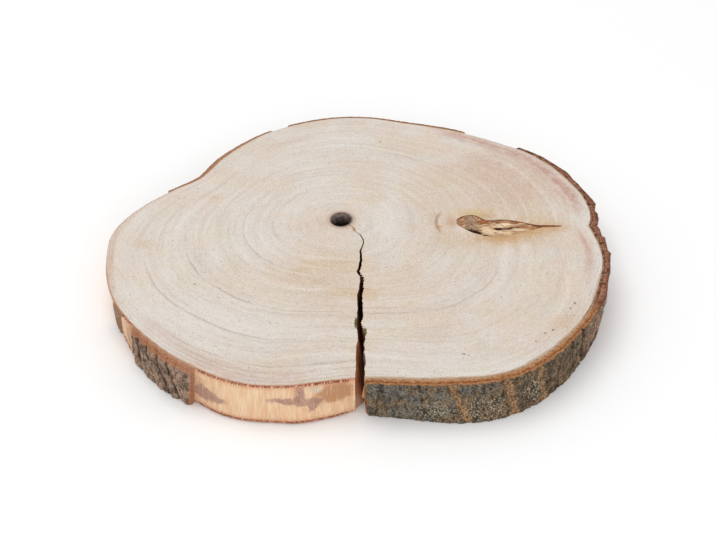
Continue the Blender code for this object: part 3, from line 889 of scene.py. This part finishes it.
def knot_shade(place):
    """Rust, cream and crumbled bark amounts, and painted shade in the hollows, splits and edge gaps, at a
    point of the knot.
    """
    x, y = place.x / MM, place.y / MM
    low, high = (edge / MM for edge in knot_edges(place.x))
    bark = bark_in_knot(x, y)
    rust = spot_sum(RUST_SPOTS, place.x, place.y) + 0.9 * ease((x - 139.0) / 4.0)
    rust += max(ease(1.0 - (high - y) / 1.6), 0.8 * ease(1.0 - (y - low) / 1.4)) * (1.0 - bark)
    # Painted shade: dark lines along the knot's lower and upper edges, where the gap round it lies in shade,
    # and in its splits.
    groove_shade = ease(1.5 - (y - low) / 0.7) * ease((142.0 - x) / 6.0)
    upper_edge_shade = 0.45 * ease(1.3 - (high - y) / 0.6)
    edge_shade = (groove_shade + upper_edge_shade) * (0.35 + 0.65 * ease((x - 86.0) / 6.0))
    splits = 0.4 * knot_crease(x, y) * (1.0 - bark)
    hollow = spot_sum(HOLLOW_SHADE_SPOTS, place.x, place.y) + edge_shade + splits
    return (
        min(1.0, rust),
        min(1.0, spot_sum(CREAM_SPOTS, place.x, place.y)),
        bark,
        # Painted shade: darker where the surface lies deep below the face.
        min(1.0, hollow + ease((THICKNESS - place.z - 2.6 * MM) / (0.8 * MM))),
    )


knot = finished(knot_body(), "dead_branch_knot", [branch_wood()], smooth_below=60.0)
put_attribute(knot, "shade", [knot_shade(vert.co - PITH) for vert in knot.data.vertices], "FLOAT_COLOR")
belongs(knot)


# The bark
# Bark that the saw and the drying left on the rim: a corky grey outer layer over a rust-brown inner one.
# It grew on the wood, comes away in strips, and shows both layers where the saw cut it.

# Strips: name, first and last angle at the upper face, how much further they lie at the underside, ridge
# height in mm, and the share of the thickness that is left at the upper face and at the ends
BARK_STRIPS = [
    ("bark_back", 50, 109, 0, 0, 0.5, 1, 0.4), ("bark_back_left", 115, 165, 0, 0, 0.5, 1, 0.3),
    ("bark_left_scrap", 211.4, 215.8, -4.6, -5, 0.3, 1, 0.5),
    ("bark_front_left", 220.8, 240, 0, -0.8, 1.1, 0.35, 0.7),
    ("bark_right", 275.3, 394.5, 0.7, 0, 0.8, 1, 0.85),
]
# Thickness of the bark at angles, in mm
BARK_THICKNESS = [
    (44, 2), (60, 2), (80, 1.7), (100, 1.5), (109, 1.4), (115, 1.2), (128, 2.2), (144, 3.2), (155, 2.6),
    (165, 1.8), (203, 1.2), (206, 1.5), (213, 1.5), (216, 1.2), (220, 3), (226, 4.6), (232, 5.6), (240, 5),
    (275.2, 6.2), (283, 7.2), (291, 7.7), (296, 8), (302, 7.6), (309, 6.8), (316, 6.4), (322, 6),
    (328, 5.8),
]
# Outside of the bark at the upper face on the right, where the cut edge is scalloped: angle, radius in mm
BARK_SCALLOPS = [
    (328, 202.8), (331, 202.6), (334, 201.7), (336.8, 199.3), (338.1, 198.3), (341.6, 196.1), (343.3, 196),
    (345.8, 194.2), (348.1, 194), (349.1, 191.6), (352, 189.6), (353.4, 189.2), (354, 186.6),
    (356.4, 185.7), (358.2, 183.7), (360.4, 185.9), (362.3, 185.8), (363.9, 183.9), (365.9, 186.7),
    (369.2, 184.3), (371.3, 182.5), (374.5, 180.8), (376.6, 179.3), (379.4, 179.1), (381.8, 176.5),
    (388, 171.8), (395, 163.6),
]
BARK_RED_FROM, BARK_RED_FULL = 317.0, 335.0   # angles between which the cork gives way to red bark
RED_ELSEWHERE = 0.7
RIDGE_SPACING = 9.0 * MM
RIDGE_LENGTH = 30.0 * MM
BARK_LEAN = 0.3
WORN_HEIGHT = 9.5, 4.5      # mm below the upper face, at the first and at the last end of a strip
# Fissures: angle at the upper face and at the underside, width and depth in mm, and how orange their floor is
BARK_FISSURES = [
    (223, 224.5, 2.6, 2.4, 0), (226.4, 229.4, 1.8, 2, 0), (229.4, 234, 2.4, 2.8, 0),
    (233, 236.4, 2, 2.4, 0), (278.6, 279.4, 1.8, 0.8, 0.3), (286, 287.6, 1.6, 0.9, 0.2),
    (292, 295, 6.2, 1, 1), (302, 303.8, 6, 1, 1), (309.2, 310.6, 5.4, 1, 0.95), (314, 314.6, 1.4, 0.9, 0.2),
    (318.5, 319.5, 1.6, 1.5, 0.1), (322.6, 323.4, 2.2, 2, 0.4), (330.5, 330, 2, 1.2, 0.3),
    (357.8, 357.8, 3, 1.6, 0.2),
]
BARK_COLUMN = 0.5 * MM
BARK_RADIUS = 190.0 * MM    # about how far the bark lies from the pith
UNDER_LANES, OUTER_ROWS, UPPER_LANES, INNER_ROWS = 6, 50, 12, 2
BARK_SINK = 0.25 * MM       # the strips are let into the wood, so that no gap shows
CHIP = (322.6, 10.5, 0.8, 5.5)   # a lost flake of the outer bark: angle, height, half sizes in degrees and mm


def fissure_depth(angle, height, radius):
    """How deep the nearest fissures cut the bark, in metres, and how orange they are."""
    depth = orange = 0.0
    for upper, lower, width, deep, warmth in BARK_FISSURES:
        middle = lower + (upper - lower) * height / THICKNESS
        away = math.radians(abs((angle - middle + 180.0) % 360.0 - 180.0)) * radius
        away += 1.8 * MM * rough(height / (5.0 * MM), upper, 0.0, 2)
        near = math.exp(-((away / (width * MM / 2.0)) ** 2))
        depth += deep * MM * near * (0.6 + 0.4 * height / THICKNESS)
        orange += warmth * near
    return depth, orange


def full_thickness(angle):
    """Thickness of the whole bark at an angle."""
    turned = angle if angle > BARK_THICKNESS[0][0] else angle + 360.0
    if turned < BARK_SCALLOPS[0][0]:
        return straight_through(BARK_THICKNESS, turned, 1) * MM
    return straight_through(BARK_SCALLOPS, turned, 1) * MM - read_table(RIM, turned)


def bark_surface(strip, angle, height):
    """Thickness of a strip of bark, the share of its layers left, how sunken (furrow 1) and how orange."""
    first, last = strip[1:3]
    ridge, worn = strip[5:7]
    wood = wood_radius(angle, THICKNESS)
    arc = math.radians(angle) * wood
    lean = (arc + BARK_LEAN * height) / RIDGE_SPACING
    place = Vector((lean, height / RIDGE_LENGTH, first))
    broad = noise.noise(place) + 0.5 * noise.noise(place * 2.1)
    plates = rough(lean * 2.1, height / (5.5 * MM), 2.0, 3)
    crumbs = rough(lean * 7.0, height / (1.3 * MM), 4.0, 2)
    cracks = max(0.0, 1.0 - 7.0 * abs(wobble(lean * 1.6, height / (9.0 * MM), 11.0)))
    fissure, orange = fissure_depth(angle, height, wood)
    full = full_thickness(angle)
    thin = min(1.0, full / (5.0 * MM))
    held = 0.25 if angle > BARK_SCALLOPS[0][0] and height > 0.9 * THICKNESS else 1.0
    thickness = full + held * thin * (ridge * MM * broad + 0.45 * MM * plates - 0.35 * MM * cracks)
    thickness += 0.16 * MM * crumbs - fissure * thin
    chipped = ease(1.5 - ((angle - CHIP[0]) / CHIP[2]) ** 2 - ((height / MM - CHIP[1]) / CHIP[3]) ** 2)
    thickness -= 1.2 * MM * chipped
    worn_height = WORN_HEIGHT[0] + (angle - first) / (last - first) * (WORN_HEIGHT[1] - WORN_HEIGHT[0])
    bare = worn + (1.0 - worn) * ease(((THICKNESS - height) / MM + 2.0 * broad + 1.2 * plates) / worn_height)
    thickness *= bare
    # How low the surface lies; the bark's material paints shade into the low places.
    sunken = 0.42 - 0.45 * plates - 0.35 * crumbs - 0.25 * broad + 0.3 * cracks + fissure / (1.6 * MM)
    sunken *= 0.4 + 0.6 * thin
    kept = bare * (1.0 - 0.3 * chipped)
    return max(thickness, 0.4 * MM), kept, min(1.0, max(0.0, sunken)), min(1.0, orange)


def bark_section(share):
    """Depth from 0 at the wood to 1 outside, and height from 0 to 1, at a share of the way round a strip."""
    step = share * (UNDER_LANES + OUTER_ROWS + UPPER_LANES + INNER_ROWS)
    if step <= UNDER_LANES:
        return step / UNDER_LANES, 0.0
    step -= UNDER_LANES
    if step <= OUTER_ROWS:
        return 1.0, step / OUTER_ROWS
    step -= OUTER_ROWS
    if step <= UPPER_LANES:
        return 1.0 - step / UPPER_LANES, 1.0
    return 0.0, 1.0 - (step - UPPER_LANES) / INNER_ROWS


def bark_strip(strip, materials):
    """One strip of bark, swept along the rim as a closed shell with a furrowed outside."""
    name, first, last, first_lean, last_lean = strip[:5]
    blunt = strip[7]
    span = math.radians(last - first) * wood_radius((first + last) / 2.0, THICKNESS)
    lanes = UNDER_LANES + OUTER_ROWS + UPPER_LANES + INNER_ROWS
    bm = bmesh.new()
    layer = bm.verts.layers.float.new("layer")
    look = bm.verts.layers.float_color.new("look")
    bmesh.ops.create_grid(bm, x_segments=int(span / BARK_COLUMN), y_segments=lanes, size=1.0)
    for vert in bm.verts:
        share = (vert.co.x + 1.0) / 2.0
        depth, up = bark_section((vert.co.y + 1.0) / 2.0)
        height = up * THICKNESS
        from_end = min(share, 1.0 - share) * span
        side = 1.0 if share < 0.5 else -1.0
        ragged = side * 1.4 * MM * wobble(height / (5.0 * MM), first, side) * math.exp(-from_end / (5.0 * MM))
        lean = (first_lean + share * (last_lean - first_lean)) * (1.0 - up)
        angle = first + share * (last - first) + lean + math.degrees(ragged / BARK_RADIUS)
        thickness, kept, sunken, orange = bark_surface(strip, angle, height)
        rounded = blunt + (1.0 - blunt) * ease(from_end / (1.4 * MM))
        thickness *= rounded
        radius = wood_radius(angle, height) - BARK_SINK + depth * (thickness + BARK_SINK)
        turn = math.radians(angle)
        crumble = 0.5 * MM * abs(wobble(turn * 0.18 / (1.6 * MM), depth * 3.0, 6.0)) * ease(depth * 1.4)
        z = min(max(height, crumble), THICKNESS - crumble)
        vert.co = (radius * math.cos(turn), radius * math.sin(turn), z)
        red = RED_ELSEWHERE
        if name == "bark_right":
            red = ease((angle - BARK_RED_FROM) / (BARK_RED_FULL - BARK_RED_FROM))
        vert[layer] = depth * kept * rounded
        vert[look] = (sunken, orange, red, min(1.0, from_end / (1.5 * MM)))
    bmesh.ops.remove_doubles(bm, verts=bm.verts, dist=0.002 * MM)
    bmesh.ops.holes_fill(bm, edges=[e for e in bm.edges if e.is_boundary], sides=0)
    bmesh.ops.recalc_face_normals(bm, faces=bm.faces)
    return finished(bm, name, materials, smooth_below=50.0)


# Colours of the cut bark from the wood outwards, as share and colour, under grey cork and under red bark
GREY_SIDE_LAYERS = [
    (0, "#bb9d80"), (0.14, "#b08d6e"), (0.33, "#a9774f"), (0.47, "#a36a3e"), (0.55, "#602b17"),
    (0.62, "#a5683a"), (0.76, "#a3754c"), (0.88, "#8a684c"), (1, "#5a4738"),
]
RED_SIDE_LAYERS = [
    (0, "#a88874"), (0.12, "#8f6854"), (0.24, "#4f2c20"), (0.36, "#9c6a52"), (0.62, "#8a5843"),
    (0.84, "#7a4d3a"), (1, "#47301f"),
]


# Where the grey bark is speckled with pale lichen: place round the pith, height and half width in mm
PALE_CLUSTERS = [
    (62, -190, 10, 13), (94, -175, 10, 15), (128, -160, 16, 8),
]


def corky_bark():
    """Dry bark of a broadleaved tree: slate and umber cork, pale specks, rust-brown inner bark where cut, and
    painted shade in its furrows and hollows.
    """
    material, tree, shader, at = new_material("dry_corky_bark", 0.92, 0.12)
    layer = add(tree, "Attribute", out="Fac", attribute_name="layer")
    look = add(tree, "Attribute", attribute_name="look")
    sunken, orange, red = add(tree, "SeparateColor", (look,)).node.outputs
    away_from_end = look.node.outputs["Alpha"]

    patches = patchwork(tree, at, 9 * MM, 5.0, 0.4, 0.6)
    cork = add(tree, "Mix", (patches, linear("#6b6861"), linear("#7a6853")), data_type="RGBA")
    x = add(tree, "SeparateXYZ", (at,))
    leftward, rightward = (x, -60.0 * MM, -110.0 * MM, 0.0, 0.5), (x, 50.0 * MM, 115.0 * MM, 0.0, 0.8)
    to_the_left = add(tree, "MapRange", leftward, interpolation_type="SMOOTHSTEP")
    to_the_right = add(tree, "MapRange", rightward, interpolation_type="SMOOTHSTEP")
    umber = add(tree, "Mix", (patches, linear("#493d32"), linear("#7d6349")), data_type="RGBA")
    cork = add(tree, "Mix", (to_the_right, cork, umber), data_type="RGBA")
    reddish = add(tree, "Mix", (patches, linear("#8a6c5d"), linear("#b48f79")), data_type="RGBA")
    cork = add(tree, "Mix", (red, cork, reddish), data_type="RGBA")
    faded = add(tree, "Mix", (patches, linear("#957a6a"), linear("#b89a86")), data_type="RGBA")
    cork = add(tree, "Mix", (to_the_left, cork, faded), data_type="RGBA")
    mottle = cloud(tree, at, 3.2 * MM, 6.0, (1.0, 1.0, 0.7))
    # Painted shade: darker patches where the bump relief is low.
    hollow_shade = add(tree, "MapRange", (mottle, 0.42, 0.5, 0.6, 0.0), interpolation_type="SMOOTHSTEP")
    cork = add(tree, "Mix", (hollow_shade, cork, linear("#3a3027")), data_type="RGBA")
    cork = wash(tree, cork, "#94846c", mottle, 0.54, 0.64, 0.4)
    grit = cloud(tree, at, 1.1 * MM, 4.0)
    cork = wash(tree, cork, "#2c231b", grit, 0.47, 0.36, 0.75)
    speckled = 0.22
    frayed = add(tree, "MapRange", (mottle, 0.3, 0.7, -0.4, 0.4), interpolation_type="SMOOTHSTEP")
    for x, y, z, half_x in PALE_CLUSTERS:
        away = oval(tree, at, x, y, half_x, 40.0, z, 11.0)
        away = add(tree, "Math", (away, frayed), operation="ADD")
        cluster = add(tree, "MapRange", (away, 1.3, 0.6), interpolation_type="SMOOTHSTEP")
        speckled = add(tree, "Math", (speckled, cluster), operation="MAXIMUM")
    pale = add(tree, "MapRange", (grit, 0.53, 0.64, 0.0, 0.85), interpolation_type="SMOOTHSTEP")
    cork = tinge(tree, cork, "#ccbc9f", pale, speckled)

    ragged = unsteady(tree, at, 3.4 * MM, 2.0, 6.0)
    ragged = add(tree, "Math", (ragged, 1.3), operation="MULTIPLY")
    seam = add(tree, "Math", (orange, ragged, orange), operation="MULTIPLY_ADD")
    seam = add(tree, "MapRange", (seam, 0.15, 0.85), interpolation_type="SMOOTHSTEP")
    rusty = wash(tree, linear("#7a583e"), "#be9870", grit, 0.4, 0.6)
    rust = add(tree, "Math", (seam, 0.85), operation="MULTIPLY")
    cork = add(tree, "Mix", (rust, cork, rusty), data_type="RGBA")
    # Painted shade: darker in the furrows, where the strip's surface lies low.
    furrow = add(tree, "MapRange", (sunken, 0.6, 1.0, 0.0, 0.7), interpolation_type="SMOOTHSTEP")
    seamless = add(tree, "Math", (seam, -0.75, 1.0), operation="MULTIPLY_ADD")
    cork = tinge(tree, cork, "#2f241c", furrow, seamless)

    coarse = unsteady(tree, at, 5.0 * MM, 0.2, 2.0)
    fine = unsteady(tree, at, 1.3 * MM, 0.3, 3.0)
    depth = add(tree, "Math", (layer, coarse), operation="ADD")
    depth = add(tree, "Math", (depth, fine), operation="ADD")
    at_ends = add(tree, "MapRange", (away_from_end, 0.0, 1.0, 0.7, 1.0), interpolation_type="SMOOTHSTEP")
    depth = add(tree, "Math", (depth, at_ends), operation="MULTIPLY")
    sides = []
    for layers in (GREY_SIDE_LAYERS, RED_SIDE_LAYERS):
        sides.append(add(tree, "ValToRGB", (depth,)))
        stops = sides[-1].node.color_ramp.elements
        stops[0].position, stops[0].color = layers[0][0], linear(layers[0][1])
        stops[1].position, stops[1].color = layers[-1][0], linear(layers[-1][1])
        for place, tone in layers[1:-1]:
            stops.new(place).color = linear(tone)
    red_side = add(tree, "MapRange", (red, 0.6, 1.0), interpolation_type="SMOOTHSTEP")
    sawn_bark = add(tree, "Mix", (red_side, *sides), data_type="RGBA")
    flecks = cloud(tree, at, 1.5 * MM, 4.0)
    blotches = patchwork(tree, at, 5.0 * MM, 5.0, 0.53, 0.6, 0.0, 0.8)
    reddest = add(tree, "MapRange", (red, 0.75, 1.0), interpolation_type="SMOOTHSTEP")
    sawn_bark = tinge(tree, sawn_bark, "#45281d", blotches, reddest)
    sawn_bark = wash(tree, sawn_bark, "#5f3c29", flecks, 0.5, 0.62, 0.42)
    sawn_bark = wash(tree, sawn_bark, "#c39b78", flecks, 0.46, 0.36, 0.4)
    sawn_bark = add(tree, "Mix", (to_the_left, sawn_bark, linear("#b5836a")), data_type="RGBA")
    upright = add(tree, "SeparateXYZ", (add(tree, "NewGeometry", out="True Normal"),), out=2)
    upright = add(tree, "Math", (upright,), operation="ABSOLUTE")
    not_sawn = add(tree, "MapRange", (upright, 0.6, 0.85, 1.0, 0.15), interpolation_type="SMOOTHSTEP")
    outside = add(tree, "MapRange", (depth, 0.7, 0.84), interpolation_type="SMOOTHSTEP")
    outside = add(tree, "Math", (outside, not_sawn), operation="MULTIPLY")
    colour = add(tree, "Mix", (outside, sawn_bark, cork), data_type="RGBA")
    relief = add(tree, "Math", (grit, 0.6, mottle), operation="MULTIPLY_ADD")
    surface(tree, shader, colour, relief, 1.0 * MM)
    return material


bark_material = corky_bark()
for strip in BARK_STRIPS:
    belongs(bark_strip(strip, [bark_material]))


# The torn fibres
# Splinters and frayed bast that the saw and the falling bark left along the rim's bare edges and in the
# crack's right edge. Each is a thin cone, from white sapwood to nearly black inner bark.

# Fringes: first and last angle, at the upper edge or not, how many, and their longest length in mm
FRINGES = [
    (240.6, 272.4, True, 180, 1.9), (240.4, 272, False, 200, 2.2), (262, 272, True, 52, 2.2),
    (215.8, 221, True, 26, 1.8), (212.5, 221, False, 40, 2.2), (222, 239.5, True, 80, 1.8),
]
FIBRE_TONES = ["#7a4632", "#96573f", "#b4735a", "#c48c6c", "#8a5540", "#b06f52", "#d0a484"]
WHITE_FIBRE_EVERY = 13
# Teeth of white sapwood on the crack's right edge: from and to in mm from the pith, and how many
CRACK_TOOTH_ROWS = [
    (62, 84, 9), (112, 126, 6), (136, 152, 9),
]
# Long slivers along the crack's mouth: angle, height of the foot and of the top, width in mm, and colour
# The two pale slivers on the left lip are torn fibres whose pale tone is partly a painted highlight of the
# lit edge.
MOUTH_SLIVERS = [
    (273.2, 0.6, 17, 1.1, "#e6c6a4"), (273.25, 11, 30.6, 1.3, "#edd3b4"), (275.5, 11, 22.5, 3, "#dba878"),
]


def splinter(bm, tone_layer, foot, direction, length, width, tone):
    """Adds a thin cone from its foot, with its tone on each vertex."""
    lean = direction.to_track_quat("Z", "X").to_matrix().to_4x4()
    place = Matrix.Translation(foot + direction * (length / 2.0)) @ lean
    made = bmesh.ops.create_cone(
        bm, cap_ends=True, segments=5, radius1=width / 2.0, radius2=width / 10.0, depth=length, matrix=place
    )["verts"]
    for vert in made:
        vert[tone_layer] = linear(tone)
        vert.co.z = min(THICKNESS + 0.15 * MM, max(0.05 * MM, vert.co.z))


def torn_fibres():
    bm = bmesh.new()
    tone_layer = bm.verts.layers.float_color.new("tone")
    for first, last, upper, count, longest in FRINGES:
        for index in range(count):
            chance = [0.5 + 0.5 * wobble(index * 7.31, first, 3.3 * k) for k in range(5)]
            angle = first + (last - first) * (index + 1.6 * (chance[0] - 0.5)) / count
            turn = math.radians(angle)
            height = THICKNESS - 0.3 * MM if upper else 0.6 * MM
            outward = Vector((math.cos(turn), math.sin(turn), 0.0))
            foot = outward * (wood_radius(angle, height) - 0.25 * MM)
            foot.z = height + (-1.0 if upper else 1.6) * MM * chance[1]
            along = Vector((-outward.y, outward.x, 0.0)) * (chance[2] - 0.5) * 2.4
            fall = Vector((0.0, 0.0, -1.2 if upper else 0.8)) * (chance[3] - 0.15)
            direction = (outward * 0.5 + along + fall).normalized()
            length = longest * MM * (0.3 + 0.7 * chance[4])
            tone = FIBRE_TONES[int(chance[1] * 9.3 + index * 0.37) % len(FIBRE_TONES)]
            tone = "#f2e6d6" if index % WHITE_FIBRE_EVERY == 0 else tone
            splinter(bm, tone_layer, foot, direction, length, 0.75 * MM, tone)
    for first, last, count in CRACK_TOOTH_ROWS:
        for index in range(count):
            chance = [0.5 + 0.5 * wobble(index * 5.17, first, 2.9 * k) for k in range(3)]
            outward = first + (last - first) * (index + chance[0]) / count
            x = crack_wall(1, outward, THICKNESS) + 0.5 * MM
            foot = Vector((x, -outward * MM, THICKNESS - 0.5 * MM))
            direction = Vector((-1.0, (chance[1] - 0.5) * 1.2, -0.1)).normalized()
            splinter(bm, tone_layer, foot, direction, (0.7 + 0.7 * chance[2]) * MM, 1.1 * MM, "#efe6da")
    for angle, low, high, width, tone in MOUTH_SLIVERS:
        turn = math.radians(angle)
        outward = Vector((math.cos(turn), math.sin(turn), 0.0))
        foot, top = (outward * wood_radius(angle, z * MM) for z in (low, high))
        foot.z, top.z = low * MM, high * MM
        splinter(bm, tone_layer, foot, (top - foot).normalized(), (top - foot).length, width * MM, tone)
    return bm


def frayed_wood():
    """Frayed fibres: dry and matt, each with its own tone."""
    material, tree, shader, _ = new_material("frayed_wood_fibre", 0.9, 0.1)
    tone = add(tree, "Attribute", attribute_name="tone")
    tree.links.new(tone, shader.inputs["Base Color"])
    return material


belongs(finished(torn_fibres(), "torn_fibres", [frayed_wood()]))


# The floor, the light and the camera
# A pale studio sweep under even, soft light from above, seen as the photograph shows the slice.

FLOOR_REACH = 6.0
FLOOR_DROP = 0.2 * MM           # the floor lies just below the slice, so that the two don't share a plane
ROOM_LIGHT = 0.76

floor_mesh = bmesh.new()
bmesh.ops.create_grid(floor_mesh, x_segments=1, y_segments=1, size=FLOOR_REACH)
bmesh.ops.translate(floor_mesh, verts=floor_mesh.verts, vec=Vector((0.0, 0.0, -FLOOR_DROP)) - PITH)
paper, _, paper_shader, _ = new_material("white_paper_sweep", 0.9, 0.1)
paper_shader.inputs["Base Color"].default_value = linear("#f8f8f8")
floor = finished(floor_mesh, "floor", [paper])

world = bpy.data.worlds.new("soft_white_room")
world.use_nodes = True
world.node_tree.nodes["Background"].inputs["Color"].default_value = linear("#ffffff")
world.node_tree.nodes["Background"].inputs["Strength"].default_value = ROOM_LIGHT
bpy.context.scene.world = world


def softbox(name, place, size, power):
    """A large soft lamp that points at the slice."""
    lamp = bpy.data.lights.new(name, "AREA")
    lamp.shape = "DISK"
    lamp.size = size
    lamp.energy = power
    made = bpy.data.objects.new(name, lamp)
    made.location = place
    made.rotation_euler = (-Vector(place)).to_track_quat("-Z", "Y").to_euler()
    bpy.context.scene.collection.objects.link(made)


softbox("overhead_softbox", (-0.5, 0.3, 1.9), 1.6, 13.0)
softbox("front_fill", (0.5, -1.9, 0.8), 1.4, 9.0)

CAMERA_DISTANCE = 1.178
CAMERA_PITCH = math.radians(38.0)
FOCAL_PIXELS = 1700.0
PHOTO_WIDTH = 716.0
SENSOR_WIDTH = 36.0
CAMERA_AIM = Vector((-0.35 * MM, -37.4 * MM, THICKNESS))

camera = bpy.data.objects.new("camera", bpy.data.cameras.new("camera"))
camera.data.sensor_width = SENSOR_WIDTH
camera.data.lens = FOCAL_PIXELS / PHOTO_WIDTH * SENSOR_WIDTH
to_camera = Vector((0.0, -math.cos(CAMERA_PITCH), math.sin(CAMERA_PITCH)))
camera.location = CAMERA_AIM + to_camera * CAMERA_DISTANCE
camera.rotation_euler = (math.pi / 2.0 - CAMERA_PITCH, 0.0, 0.0)
bpy.context.scene.collection.objects.link(camera)
bpy.context.scene.camera = camera
bpy.context.scene.view_settings.view_transform = "Standard"
